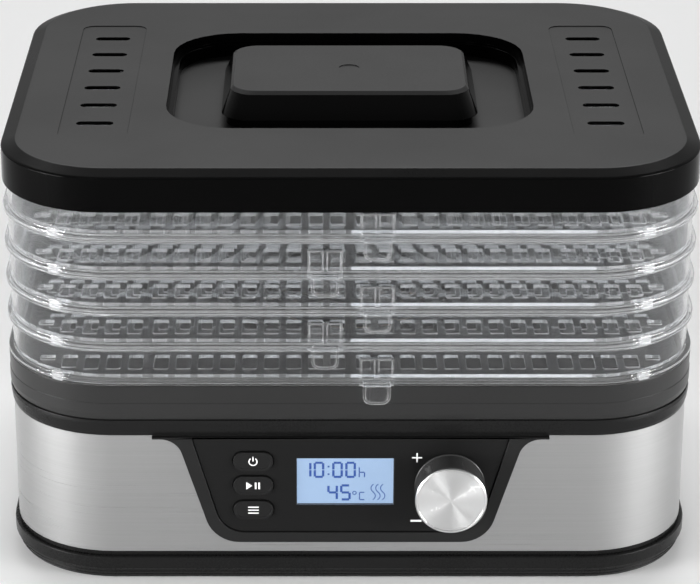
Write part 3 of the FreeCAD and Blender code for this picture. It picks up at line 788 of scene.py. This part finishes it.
CLIP_X = 12.5
CLIP_HALF = 8.4
TONGUE_HALF = 6.75
TONGUE_DROP = 9.2
FLANGE_TOP = 2.6
INNER_INSET = 4.1
FLOOR_TOP = 4.8
FLOOR_THICKNESS = 1.8
SLOT_PITCH = 10.78
SLOT_GROUP = 49.4
SLOT_OUTER = 105.05
SLOT_SHORTEST = 5.0
ROW_PITCH = 23.9
ROW_COUNT = 11
LUG_ANGLE = math.radians(29)
# The second finish is the painted highlight for bevels, flange tops, slot walls and lugs
TRAY_FINISHES = ("tray clear", "tray edge")


def slot_lines():
    """The middles of the floor slots across the tray, and of their rows."""
    across = []
    for side in (-1, 1):
        across += [side * SLOT_GROUP + (i - 4) * SLOT_PITCH for i in range(9)]
        across += [side * (SLOT_OUTER + i * SLOT_PITCH) for i in range(5)]
    rows = [(row - ROW_COUNT // 2) * ROW_PITCH + MID_Y for row in range(ROW_COUNT)]
    return sorted(across), rows


def slot_span(x, y, width, length):
    """The front and back ends of a slot, shortened to stay inside the floor's rounded outline."""
    inset = INNER_INSET + 2.0
    radius = mm("corner_radius") - inset
    over_x = abs(x) + width / 2 - (mm("case_width") / 2 - inset - radius)
    if over_x >= radius:
        return None
    reach = math.sqrt(radius ** 2 - max(over_x, 0) ** 2)
    limit = mm("case_depth") / 2 - inset - radius + reach
    low = max(y - length / 2, MID_Y - limit)
    high = min(y + length / 2, MID_Y + limit)
    return (low, high) if high - low >= SLOT_SHORTEST else None


def cut_across(place, axis):
    """Cuts what is selected by an upright plane at a place in millimetres along X or Y."""
    normal = (1, 0, 0) if axis == "X" else (0, 1, 0)
    bpy.ops.mesh.bisect(plane_co=[part * place * MM for part in normal], plane_no=normal)


def tray_floor():
    """The slotted floor: a rounded sheet cut along the slot edges, opened and thickened."""
    width = mm("slot_width")
    length = mm("slot_length")
    across, rows = slot_lines()
    corners = block_corners(mm("case_width") - 2 * INNER_INSET, mm("case_depth") - 2 * INNER_INSET,
                            mm("corner_radius") - INNER_INSET, 0.0, MID_Y)
    outline = rounded(corners, True, CORNER_STEPS)
    floor = draw_line("floor", [(u, v, FLOOR_TOP) for u, v in outline], True)
    bpy.ops.mesh.edge_face_add()
    for axis, middles, half in (("X", across, width / 2), ("Y", rows, length / 2)):
        for place in middles:
            for edge in (place - half, place + half):
                select_everything()
                cut_across(edge, axis)
    heal()
    holes = set()
    for x in across:
        for row in rows:
            span = slot_span(x, row, width, length)
            if not span:
                continue
            holes.add((round(x, 1), round(sum(span) / 2, 1)))
            for end, full in zip(span, (row - length / 2, row + length / 2)):
                if abs(end - full) > HAIR:
                    pick(floor, lambda face: abs(middle(face).x - x) < width / 2
                         and abs(middle(face).y - row) < length / 2)
                    cut_across(end, "Y")

    def in_hole(face):
        spot = middle(face)
        return (round(spot.x, 1), round(spot.y, 1)) in holes

    def is_slot(face):
        small = face.calc_area() < width * length * MM * MM * 1.02
        return small and len(face.verts) == 4 and in_hole(face)

    def is_opening(face):
        return len(face.verts) > 11 and face.calc_area() > 25 * MM * MM and in_hole(face)

    pick(floor, is_slot)
    bpy.ops.mesh.inset(thickness=0.3 * MM, use_individual=True)
    bpy.ops.mesh.bevel(offset=1.1 * MM, segments=3, affect="VERTICES")
    pick(floor, is_opening)
    bpy.ops.mesh.delete(type="FACE")
    select_everything()
    bpy.ops.mesh.normals_make_consistent(inside=False)
    leave()
    return apply(floor, "SOLIDIFY", thickness=FLOOR_THICKNESS * MM, offset=-1.0)


def tray_body():
    """The tray without its clip: flange, wall, ledge, nesting lip and floor."""
    section = [(0.0, 0.0), (0.0, FLANGE_TOP), (2.3, FLANGE_TOP), (2.3, 18.8), (4.5, 18.8),
               (4.5, 20.6), (6.0, 20.6), (6.0, 17.0), (INNER_INSET, 17.0), (INNER_INSET, 0.0)]
    ring = dress(swept("ring", section), *TRAY_FINISHES)
    # The ring's bevels and flange top take the second finish: a painted highlight
    soften(ring, 0.5, 2, material=1)
    paint(ring, 1, lambda face: face.normal.z > 0.9 and 2.0 < face.center.z / MM < 3.0)
    floor = dress(tray_floor(), *TRAY_FINISHES)
    # The floor's bevels and slot walls take the second finish: a painted highlight
    soften(floor, 0.4, 1, 50.0, material=1)
    paint(floor, 1, lambda face: abs(face.normal.z) < 0.8)
    return joined([ring, floor, *tray_highlight_lugs()], "tray_body")


def tray_highlight_lugs():
    """The small blocks on the flange at the two front corners, wholly in the pale painted-highlight
    finish.
    """
    radius = mm("corner_radius")
    across = mm("case_width") / 2 - radius
    front = MID_Y - mm("case_depth") / 2
    lugs = []
    for side in (-1, 1):
        x = side * across
        lug = box("lug", (x - 3.0, front + 0.1, 0.3), (x + 3.0, front + 2.6, 4.6))
        swing(lug, -side * LUG_ANGLE, (x, front + radius, 0))
        dress(lug, *TRAY_FINISHES)
        soften(lug, 0.4, 2)
        # The whole lug takes the second finish: a painted highlight
        paint(lug, 1)
        lugs.append(lug)
    return lugs


def tray_clip():
    """The front clip with two windows, and the tongue that hangs over the tray below."""
    front = (CENTRE_Y - sizes().case_depth / 2) / MM
    clip = box("clip", (-CLIP_HALF, front, 0.0), (CLIP_HALF, front + 2.6, 14.4))
    edit()
    select_everything()
    cut_across(0.0, "X")
    select_everything()
    bpy.ops.mesh.bisect(plane_co=(0, 0, 3.0 * MM), plane_no=(0, 0, 1))
    pick(clip, lambda face: face.normal.y < -0.9 and middle(face).z > 3.2)
    bpy.ops.mesh.inset(thickness=1.0 * MM, use_individual=True)
    push(0, 2.0)
    heal()
    leave()
    tongue = box("tongue", (-TONGUE_HALF, front - 1.8, -TONGUE_DROP),
                 (TONGUE_HALF, front - 0.3, FLANGE_TOP))
    edit()
    pick(tongue, lambda edge: middle(edge).z < -9 and abs(middle(edge).x) > 6, "edges")
    bpy.ops.mesh.bevel(offset=4.2 * MM, segments=5, affect="EDGES")
    pick(tongue, lambda face: face.normal.y < -0.9)
    bpy.ops.mesh.inset(thickness=1.3 * MM)
    push(0, 0.5)
    heal()
    leave()
    root = box("root", (-TONGUE_HALF, front - 1.8, 0.2), (TONGUE_HALF, front + 0.6, 2.5))
    pieces = [clip, tongue, root]
    for piece, edge in zip(pieces, (0.35, 0.3, 0.3)):
        dress(piece, *TRAY_FINISHES)
        # Their bevels take the second finish: a painted highlight
        soften(piece, edge, 2, material=1)
    return joined(pieces, "tray_clip")


def model_trays():
    """The five trays, with their clips to the right and left by turns."""
    body = tray_body()
    clip = tray_clip()
    pitch = mm("tray_pitch")
    for number in range(1, TRAY_COUNT + 1):
        side = 1 if number % 2 else -1
        z = STACK_BASE + (TRAY_COUNT - number) * pitch
        catch = shift(copied(clip, "part_clip"), side * CLIP_X)
        tray = joined([copied(body, "part_body"), catch], f"tray_{number}_piece")
        shift(tray, z=z)
        settle(tray, f"tray_{number}", f"tray_{number}")
    for spare in (body, clip):
        bpy.data.objects.remove(spare)


# ---- base casing

DUCT_RADIUS = 56
SLOT_COUNT = 24


def model_shoulder():
    """The shoulder, its collar and the deck that the trays stand over."""
    section = rounded([
        (30.0, 96.5, 0), (4.0, 96.5, 0), (4.0, 88.5, 0), (1.3, 88.5, 0), (1.3, 89.3, 0),
        (0.5, 89.3, 0.3), (0.0, 92.0, 0.6), (0.0, 97.7, 0), (0.25, 97.75, 0),
        (0.0, 107.0, 0.5), (4.1, 107.0, 0.5), (4.1, 99.0, 0), (30.0, 99.0, 0)], False, 3)
    shoulder = swept("upper_housing_piece", section, closed=False)
    duct = turned("duct", cylinder(DUCT_RADIUS, 90, 105), (0.0, MID_Y), "Z", 64)
    carve(shoulder, [duct])
    soften(shoulder, 0.3, 2, 40.0)
    dress(shoulder, "shoulder plastic")
    settle(shoulder, "base", "upper_housing")


def model_lip():
    """The black ring between the shoulder and the steel."""
    section = rounded([(4.0, 80.05, 0), (1.3, 80.05, 0.4), (0.7, 82.0, 0.5), (0.1, 86.5, 0.8),
                       (0.3, 88.45, 0.4), (4.0, 88.45, 0)], True, 3)
    lip = swept("lip_ring_piece", section)
    shade(lip)
    dress(lip, "trim plastic")
    settle(lip, "base", "lip_ring")


def fascia_corners(grow=0.0, low_radius=14.0):
    """The fascia's tapered outline, grown or shrunk all round."""
    top, top_half, top_radius = 79.4 + grow, 77.4 + grow, 1.2
    low, low_half = 28.5 - grow, 62.5 + grow
    return [(-top_half, top, top_radius), (-low_half, low, low_radius),
            (low_half, low, low_radius), (top_half, top, top_radius)]


def middle_of(node):
    """The middle of a CAD node across and up, in millimetres."""
    low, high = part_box(node)
    return (low.x + high.x) / 2 / MM, (low.z + high.z) / 2 / MM


def model_steel():
    """The steel band, opened behind the control panel and for the lead's bush."""
    z0 = STEEL_LOW.z / MM
    z1 = STEEL_HIGH.z / MM
    band = swept("steel_wrap_piece", [(2.3, z0), (1.5, z0), (1.5, z1), (2.3, z1)])
    window = outline_plate("window", fascia_corners(-3.2, 8.0), STEEL_FRONT - 3, STEEL_FRONT + 5)
    back = STEEL_HIGH.y / MM
    hole = turned("hole", cylinder(6.0, back - 5, back + 3), middle_of("cord_gland"), "Y", 32)
    carve(band, [window, hole])
    soften(band, 0.15, 1, 40.0)
    dress(band, "brushed steel")
    settle(band, "base", "steel_wrap")


def model_plinth():
    """The plinth with its fine ridges, and the floor with the fan's intake slots."""
    z = PAN_LOW.z / MM
    top = STEEL_LOW.z / MM
    section = rounded([
        (30.0, z, 0), (2.4, z, 0.3), (1.2, z + 1.9, 0.3), (1.6, z + 2.0, 0), (0.4, z + 3.9, 0.3),
        (0.8, z + 4.0, 0), (-0.2, z + 5.8, 0.3), (-0.5, z + 6.0, 0.2),
        (-0.5, top - 2.8, 0.5), (0.2, top - 2.2, 0.3), (2.1, top - 2.2, 0), (2.1, top, 0),
        (4.6, top, 0), (4.6, z + 2.5, 0), (30.0, z + 2.5, 0)], False, 3)
    plinth = swept("bottom_pan_piece", section, closed=False)
    slots = [box("slot", (16, MID_Y - 1.6, z - 2), (50, MID_Y + 1.6, z + 5))]
    for turn in range(1, SLOT_COUNT):
        angle = math.radians(360 // SLOT_COUNT * turn)
        slots.append(swing(copied(slots[0], "slot_copy"), angle, (0, MID_Y, 0)))
    carve(plinth, [joined(slots, "slots")])
    soften(plinth, 0.2, 2, 45.0)
    dress(plinth, "trim plastic")
    settle(plinth, "base", "bottom_pan")


def model_feet():
    """Four turned rubber feet."""
    low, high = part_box("rubber_feet")
    top = PAN_LOW.z / MM
    radius = 9.0
    x = high.x / MM - radius
    y = (high.y - low.y) / 2 / MM - radius
    section = [(0, 0.4), (6.2, 0.4), (6.6, 0.0), (8.4, 0.0), (8.9, 0.4), (radius, top), (0, top)]
    feet = []
    for side in (-1, 1):
        for end in (-1, 1):
            feet.append(turned("foot", section, (side * x, MID_Y + end * y), "Z", 40))
    piece = joined(feet, "rubber_feet_piece")
    soften(piece, 0.2, 2, 30.0)
    dress(piece, "rubber")
    settle(piece, "base", "rubber_feet")


def model_gland():
    """The flanged bush that the lead would leave by."""
    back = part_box("cord_gland")[1].y / MM
    section = rounded([(3.2, back - 4, 0), (3.2, back, 0.6), (7.0, back, 0.6),
                       (8.0, back - 1.4, 0.3), (6.0, back - 1.4, 0), (6.0, back - 4, 0)], True, 3)
    gland = turned("cord_gland_piece", section, middle_of("cord_gland"), "Y")
    shade(gland)
    dress(gland, "rubber")
    settle(gland, "base", "cord_gland")


# ---- control panel

BUTTONS = (("button_power", 67.2), ("button_start", 54.1), ("button_set", 40.7))
BUTTON_X = -47.7
BUTTON_W = 19.7
BUTTON_H = 9.9
LCD_X = -2.6
LCD_Z = 55.6
LCD_W = 47.7
LCD_H = 25.5
PRINT_HEIGHT = 0.16
FASCIA_FINISHES = ("fascia plastic", "white ink")
BUTTON_FINISHES = ("button plastic", "white ink")
DISPLAY_FINISHES = ("inner plastic", "display blue", "display figures")


def pill_corners(z, grow=0.0):
    """A button's outline, with fully round ends."""
    height = BUTTON_H + 2 * grow
    return block_corners(BUTTON_W + 2 * grow, height, height / 2, BUTTON_X, z)


def model_frame():
    """The charcoal surround, flared under the ring and hollow for the fascia."""
    top = STEEL_HIGH.z / MM
    left = [(-97, top, 0), (-97, top - 1, 0.4), (-84.9, top - 1, 11), (-67.1, 22.7, 17)]
    corners = left + [(-x, z, radius) for x, z, radius in reversed(left)]
    surround = outline_plate("panel_frame_piece", corners, STEEL_FRONT - 3, STEEL_FRONT, 8)
    opening = outline_plate("opening", fascia_corners(0.35, 14.2), STEEL_FRONT - 5, FACE_BACK, 8)
    inside = outline_plate("inside", fascia_corners(-2.2, 8.0), STEEL_FRONT - 2, STEEL_FRONT + 2, 8)
    carve(surround, [opening, inside])
    soften(surround, 0.7, 3, 40.0)
    dress(surround, "frame plastic")
    settle(surround, "base", "panel_frame")


def model_fascia():
    """The face plate with its openings, and the plus and minus signs by the knob."""
    face = outline_plate("panel_fascia_piece", fascia_corners(), FASCIA_FRONT, FACE_BACK, 8)
    before = FASCIA_FRONT - 2
    behind = FACE_BACK + 2
    tools = [outline_plate("hole", pill_corners(z, 0.35), before, behind, 6) for _, z in BUTTONS]
    half_w = LCD_W / 2 + HAIR
    half_h = LCD_H / 2 + HAIR
    tools.append(box("glass", (LCD_X - half_w, before, LCD_Z - half_h),
                     (LCD_X + half_w, behind, LCD_Z + half_h)))
    tools.append(turned("bush", cylinder(3.6, before, behind), (KNOB_X, KNOB_Z), "Y", 32))
    carve(face, tools)
    soften(face, 0.3, 2, 40.0)
    dress(face, *FASCIA_FINISHES)
    bars = [(30.0, 68.9, 35.0, 68.9, 0.7), (32.5, 66.4, 32.5, 71.4, 0.7),
            (29.7, 34.3, 35.1, 34.3, 1.0)]
    marks = printed("marks", FASCIA_FRONT, bars, FASCIA_FINISHES)
    settle(joined([face, marks], "panel_fascia_piece"), "base", "panel_fascia")


def strokes(name, y, bars):
    """Thin raised bars on an upright face, from (x0, z0, x1, z1, width) lines."""
    bpy.ops.object.select_all(action="DESELECT")
    bpy.ops.mesh.primitive_plane_add(size=MM)
    piece = named(name)
    edit()
    select_everything()
    bpy.ops.mesh.delete(type="VERT")
    for index, (x0, z0, x1, z1, width) in enumerate(bars):
        length = math.hypot(x1 - x0, z1 - z0)
        angle = math.atan2(z1 - z0, x1 - x0)
        depth = y + 0.004 * (index % 3)
        bpy.ops.mesh.primitive_cube_add(
            size=1.0, location=((x0 + x1) / 2 * MM, depth * MM, (z0 + z1) / 2 * MM),
            rotation=(0, -angle, 0), scale=(length * MM, PRINT_HEIGHT * MM, width * MM))
    leave()
    return piece


def printed(name, y, bars, finishes):
    """Bars in the last of a piece's finishes, ready to be joined to it."""
    marks = dress(strokes(name, y, bars), *finishes)
    paint(marks, len(finishes) - 1)
    return marks


def arc_bars(x, z, radius, start, stop, width, count=14):
    """Short bars along an arc, in degrees anticlockwise from +X."""
    places = []
    for k in range(count + 1):
        angle = math.radians(start + (stop - start) * k / count)
        places.append((x + radius * math.cos(angle), z + radius * math.sin(angle)))
    return [(*a, *b, width) for a, b in zip(places, places[1:])]


def button_icon(name, z):
    """A power ring, a run and pause pair, or three bars."""
    x = BUTTON_X
    if name == "button_power":
        return [*arc_bars(x, z, 2.0, 125, 415, 0.55), (x, z + 0.2, x, z + 2.7, 0.55)]
    if name == "button_start":
        left = [(x - 3.2 + k * 0.42, z - 1.9 + k * 0.3, x - 3.2 + k * 0.42, z + 1.9 - k * 0.3, 0.44)
                for k in range(7)]
        return left + [(x + d, z - 1.8, x + d, z + 1.8, 0.85) for d in (1.2, 2.9)]
    return [(x - 2.6, z + d, x + 2.6, z + d, 0.6) for d in (-1.6, 0.0, 1.6)]


def model_buttons():
    """Three dished pills, each with a flange and a stem behind the fascia."""
    front = FASCIA_FRONT - 1.2
    for name, z in BUTTONS:
        cap = outline_plate("cap", pill_corners(z), front, FACE_BACK + 0.8, 6)
        edit()
        pick(cap, lambda face: face.normal.y < -0.9)
        bpy.ops.mesh.inset(thickness=1.2 * MM)
        push(0, 0.15)
        heal()
        leave()
        soften(cap, 0.35, 3, 25.0)
        flange = box("flange", (BUTTON_X - 10.8, FACE_BACK + 0.3, z - 5.6),
                     (BUTTON_X + 10.8, FACE_BACK + 1.5, z + 5.6))
        stem_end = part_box(name)[1].y / MM
        stem = turned("stem", cylinder(2.0, FACE_BACK + 1, stem_end), (BUTTON_X, z), "Y", 24)
        soften(flange, 0.3, 1)
        soften(stem, 0.2, 1)
        body = dress(joined([cap, flange, stem], name + "_body"), *BUTTON_FINISHES)
        icon = printed("icon", front + 0.15, button_icon(name, z), BUTTON_FINISHES)
        settle(joined([body, icon], name + "_piece"), name, name)


SEGMENTS = {"a": (0, 2, 1, 2), "b": (1, 1, 1, 2), "c": (1, 0, 1, 1), "d": (0, 0, 1, 0),
            "e": (0, 0, 0, 1), "f": (0, 1, 0, 2), "g": (0, 1, 1, 1)}
FIGURES = {"0": "abcdef", "1": "bc", "4": "bcfg", "5": "acdfg", "h": "cefg", "C": "adef"}


def figure(letter, x, z, width, height, stroke):
    """The bars of one seven-segment figure, with small gaps where bars meet."""
    gap = stroke * 0.2
    bars = []
    for key in FIGURES[letter]:
        x0, z0, x1, z1 = SEGMENTS[key]
        ends = [x + x0 * width, z + z0 * height / 2, x + x1 * width, z + z1 * height / 2]
        if key in "adg":
            ends = [ends[0] + gap, ends[1], ends[2] - gap, ends[3]]
        else:
            ends = [ends[0], ends[1] + gap, ends[2], ends[3] - gap]
        bars.append((*ends, stroke))
    return bars


def display_bars():
    """The figures on the display: a time, a temperature and the heat sign."""
    bars = []
    for letter, x in (("1", -23.8), ("0", -17.5), ("0", -8.4), ("0", -2.0)):
        bars += figure(letter, x, 57.6, 4.1, 7.7, 1.15)
    bars += [(-11.2, 59.0, -10.3, 59.0, 0.9), (-11.2, 63.2, -10.3, 63.2, 0.9)]
    bars += figure("h", 4.3, 57.3, 2.6, 5.6, 0.6)
    for letter, x in (("4", -10.8), ("5", -4.5)):
        bars += figure(letter, x, 45.2, 4.1, 7.7, 1.15)
    bars += arc_bars(2.0, 48.8, 0.9, 0, 360, 0.45, 10)
    bars += figure("C", 4.5, 45.1, 2.5, 4.0, 0.55)
    for wave in range(3):
        x = 10.6 + wave * 2.35
        bars += arc_bars(x - 0.7, 47.2, 2.4, -62, 62, 0.45, 7)
        bars += arc_bars(x + 1.9, 51.4, 2.4, 118, 242, 0.45, 7)
    return bars


def model_display():
    """The lit module with its figures, and the clear pane over it."""
    low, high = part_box("lcd_module")
    rim = 1.5
    half_w = LCD_W / 2
    half_h = LCD_H / 2
    module = box("lcd_module_piece", (LCD_X - half_w - 2 * rim, low.y / MM, LCD_Z - half_h - rim),
                 (LCD_X + half_w + 2 * rim, high.y / MM, LCD_Z + half_h + rim))
    edit()
    pick(module, lambda face: face.normal.y < -0.9)
    bpy.ops.mesh.inset(thickness=rim * MM)
    bpy.ops.transform.resize(value=(half_w / (half_w + rim), 1.0, (half_h - HAIR) / half_h),
                             center_override=(LCD_X * MM, 0, LCD_Z * MM))
    push(0, FACE_BACK + HAIR - low.y / MM)
    heal()
    leave()
    soften(module, 0.2, 1)
    dress(module, *DISPLAY_FINISHES)
    front = (FACE_BACK + 0.2) * MM
    paint(module, 1, lambda face: face.normal.y < -0.9 and face.center.y < front)
    figures = printed("figures", FACE_BACK + HAIR, display_bars(), DISPLAY_FINISHES)
    settle(joined([module, figures], "lcd_module_piece"), "base", "lcd_module")
    low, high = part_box("display_window")
    pane = box("display_window_piece", low / MM, (high - Vector((0, 0.15 * MM, 0))) / MM)
    soften(pane, 0.25, 2)
    dress(pane, "display pane")
    settle(pane, "base", "display_window")


def model_knob():
    """The black skirt with its grooved foot, and the spun cap with a raised rim."""
    front = CAP_LOW.y / MM
    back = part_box("knob_body")[1].y / MM
    radius = mm("knob_radius")
    step = front + 1.3
    bore = 2.5
    boss = 5.0
    hollow = 14.9
    section = rounded([
        (0, step, 0), (radius - 0.9, step, 0), (radius - 0.9, step + 0.6, 0),
        (radius - 0.2, step + 0.9, 0.3), (radius - 0.2, back - 2.4, 0.4),
        (radius - 0.7, back - 2.1, 0.2), (radius - 0.7, back - 1.5, 0.2),
        (radius - 0.2, back - 1.2, 0.2), (radius - 0.2, back, 0.4), (hollow, back, 0),
        (hollow, step + 4.7, 0), (boss, step + 4.7, 0), (boss, back, 0), (bore, back, 0),
        (bore, step + 3.7, 0), (0, step + 3.7, 0)], False, 3)
    face = rounded([
        (0, step - HAIR, 0), (radius - 0.1, step - HAIR, 0), (radius, front + 0.6, 0.2),
        (radius - 0.6, front, 0.15), (radius - 1.2, front, 0.1), (radius - 1.4, front + 0.18, 0.1),
        (0, front + 0.1, 0)], False, 2)
    for node, profile, steps, finish_name, slot in (
            ("knob_body", section, 72, "knob plastic", "knob_black"),
            ("knob_cap", face, 96, "spun aluminium", "spun_aluminium")):
        piece = turned(node + "_piece", profile, (KNOB_X, KNOB_Z), "Y", steps)
        dress(shade(piece), finish_name)
        settle(piece, "knob", node)


# ---- carried-over parts

CARRIED = {
    "screw steel": ("handle_screws", "case_screws", "board_screws", "encoder_body", "encoder_shaft",
                    "motor_shaft"),
    "duct steel": ("fan_motor", "fan_shroud"),
    "board green": ("control_board", "power_board"),
    "inner plastic": ("board_carrier", "motor_bridge", "tact_switches"),
    "fan plastic": ("fan_impeller",),
    "mica": ("heater_frame",),
    "heater wire": ("heater_coil",),
    "ceramic": ("thermal_cutout",),
    "trim plastic": ("air_grille",),
}


def finish_carried():
    """Gives the CAD nodes that stay as they are their finishes."""
    for finish_name, names in CARRIED.items():
        for name in names:
            dress(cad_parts[name], finish_name)


# ---- stage

def softbox(name, place, target, width, height, power):
    """A soft rectangular lamp aimed at a point."""
    lamp = bpy.data.lights.new(name, "AREA")
    lamp.shape = "RECTANGLE"
    lamp.size = width
    lamp.size_y = height
    lamp.energy = power
    made = bpy.data.objects.new(name, lamp)
    made.location = place
    made.rotation_euler = (Vector(target) - Vector(place)).to_track_quat("-Z", "Y").to_euler()
    bpy.context.scene.collection.objects.link(made)


def studio_room():
    """A pale room: white walls round the object and a dim ceiling."""
    recipe = Recipe("studio_room", "worlds")
    direction = recipe.node("ShaderNodeTexCoord", output="Generated")
    height = recipe.node("ShaderNodeSeparateXYZ", {}, {"Vector": direction}, "Z")
    stops = ((0.0, 1.0), (1.0, 0.12), (0.45, 0.95), (0.7, 0.2))
    fade = recipe.node("ShaderNodeValToRGB", {"stops": stops}, {"Fac": height})
    walls = recipe.node("ShaderNodeBackground", {}, {"Color": fade, "Strength": 0.52})
    return recipe.finish(walls, "ShaderNodeOutputWorld")


LAMPS = (
    ("lamp_front", (-0.9, -2.1, 0.9), (0, 0, 0.1), 0.7, 0.6, 5.0),
    ("lamp_low_left", (-1.35, -0.4, 0.09), (0, 0, 0.06), 0.5, 0.16, 9.0),
    ("lamp_low_right", (1.35, -0.4, 0.09), (0, 0, 0.06), 0.5, 0.16, 8.0),
    ("lamp_left", (-1.25, -0.75, 0.27), (0, 0, 0.08), 0.55, 0.5, 23.0),
    ("lamp_right", (1.25, -0.75, 0.27), (0, 0, 0.08), 0.55, 0.5, 21.0),
    ("lamp_back", (0.0, 1.55, 1.75), (0, 0.3, 0.1), 1.8, 0.5, 24.0),
)
CAMERA_PLACE = (-0.015, -1.3795, 0.687)
CAMERA_TILT = math.radians(90 - 21.95)


def set_stage():
    """The floor, the lamps and the camera."""
    scene = bpy.context.scene
    bpy.ops.object.select_all(action="DESELECT")
    bpy.ops.mesh.primitive_circle_add(vertices=64, radius=6.0, fill_type="NGON")
    ground = named("studio_floor")
    dress(ground, "pale floor")
    scene.world = studio_room()
    for lamp in LAMPS:
        softbox(*lamp)
    camera = bpy.data.cameras.new("camera")
    camera.lens = 146.2
    camera.sensor_width = 36.0
    camera.shift_x = 0.043
    camera.shift_y = -0.074
    camera.clip_start = 0.05
    view = bpy.data.objects.new("camera", camera)
    view.location = CAMERA_PLACE
    view.rotation_euler = (CAMERA_TILT, 0.0, 0.0)
    scene.collection.objects.link(view)
    scene.camera = view
    scene.view_settings.view_transform = "Standard"
    scene.cycles.max_bounces = 32
    scene.cycles.transmission_bounces = 32
    scene.cycles.glossy_bounces = 8
    scene.cycles.transparent_max_bounces = 64


# ---- operators and panel

class DEHYDRATOR_OT_stage(bpy.types.Operator):
    """Makes the floor, lamps and camera."""

    bl_idname = "dehydrator.stage"
    bl_label = "Studio stage"

    def execute(self, context):
        set_stage()
        return {"FINISHED"}


class DEHYDRATOR_OT_lid(bpy.types.Operator):
    """Models the lid shell with its pan and vents."""

    bl_idname = "dehydrator.lid"
    bl_label = "Lid"

    def execute(self, context):
        model_lid()
        return {"FINISHED"}


class DEHYDRATOR_OT_handle(bpy.types.Operator):
    """Models the grip in the lid's pan."""

    bl_idname = "dehydrator.handle"
    bl_label = "Handle"

    def execute(self, context):
        model_handle()
        return {"FINISHED"}


class DEHYDRATOR_OT_trays(bpy.types.Operator):
    """Models the five clear trays."""

    bl_idname = "dehydrator.trays"
    bl_label = "Trays"

    def execute(self, context):
        model_trays()
        return {"FINISHED"}


class DEHYDRATOR_OT_shoulder(bpy.types.Operator):
    """Models the base shoulder, its deck and the black ring."""

    bl_idname = "dehydrator.shoulder"
    bl_label = "Shoulder and ring"

    def execute(self, context):
        model_shoulder()
        model_lip()
        return {"FINISHED"}


class DEHYDRATOR_OT_band(bpy.types.Operator):
    """Models the brushed band round the base."""

    bl_idname = "dehydrator.band"
    bl_label = "Steel band"

    def execute(self, context):
        model_steel()
        return {"FINISHED"}


class DEHYDRATOR_OT_plinth(bpy.types.Operator):
    """Models the plinth, its feet and the lead's bush."""

    bl_idname = "dehydrator.plinth"
    bl_label = "Plinth and feet"

    def execute(self, context):
        model_plinth()
        model_feet()
        model_gland()
        return {"FINISHED"}


class DEHYDRATOR_OT_panel(bpy.types.Operator):
    """Models the surround and the fascia."""

    bl_idname = "dehydrator.panel"
    bl_label = "Control panel"

    def execute(self, context):
        model_frame()
        model_fascia()
        return {"FINISHED"}


class DEHYDRATOR_OT_buttons(bpy.types.Operator):
    """Models the three push buttons."""

    bl_idname = "dehydrator.buttons"
    bl_label = "Buttons"

    def execute(self, context):
        model_buttons()
        return {"FINISHED"}


class DEHYDRATOR_OT_display(bpy.types.Operator):
    """Models the lit display and its pane."""

    bl_idname = "dehydrator.display"
    bl_label = "Display"

    def execute(self, context):
        model_display()
        return {"FINISHED"}


class DEHYDRATOR_OT_knob(bpy.types.Operator):
    """Models the knob and its spun face."""

    bl_idname = "dehydrator.knob"
    bl_label = "Knob"

    def execute(self, context):
        model_knob()
        return {"FINISHED"}


class DEHYDRATOR_OT_inner(bpy.types.Operator):
    """Gives the fan, heater, boards and screws their finishes."""

    bl_idname = "dehydrator.inner"
    bl_label = "Inner parts"

    def execute(self, context):
        finish_carried()
        return {"FINISHED"}


OPERATORS = (
    DEHYDRATOR_OT_stage, DEHYDRATOR_OT_lid, DEHYDRATOR_OT_handle,
    DEHYDRATOR_OT_trays, DEHYDRATOR_OT_shoulder, DEHYDRATOR_OT_band,
    DEHYDRATOR_OT_plinth, DEHYDRATOR_OT_panel, DEHYDRATOR_OT_buttons,
    DEHYDRATOR_OT_display, DEHYDRATOR_OT_knob, DEHYDRATOR_OT_inner,
)


class DEHYDRATOR_PT_parts(bpy.types.Panel):
    """Sizes, colours and pieces of the dehydrator."""

    bl_label = "Food Dehydrator"
    bl_idname = "DEHYDRATOR_PT_parts"
    bl_space_type = "VIEW_3D"
    bl_region_type = "UI"
    bl_category = "Dehydrator"

    def draw(self, context):
        for group in (context.scene.dehydrator_sizes, context.scene.dehydrator_colours):
            column = self.layout.column(align=True)
            for key in group.bl_rna.properties.keys():
                if key not in {"rna_type", "name"}:
                    column.prop(group, key)
        for item in OPERATORS:
            self.layout.operator(item.bl_idname)


CLASSES = (DehydratorSizes, DehydratorColours, *OPERATORS, DEHYDRATOR_PT_parts)


def register():
    for item in CLASSES:
        bpy.utils.register_class(item)
    bpy.types.Scene.dehydrator_sizes = bpy.props.PointerProperty(type=DehydratorSizes)
    bpy.types.Scene.dehydrator_colours = bpy.props.PointerProperty(type=DehydratorColours)


def unregister():
    del bpy.types.Scene.dehydrator_colours
    del bpy.types.Scene.dehydrator_sizes
    for item in reversed(CLASSES):
        bpy.utils.unregister_class(item)


def main():
    register()
    for item in OPERATORS:
        group, name = item.bl_idname.split(".")
        getattr(getattr(bpy.ops, group), name)()


if __name__ == "__main__":
    main()
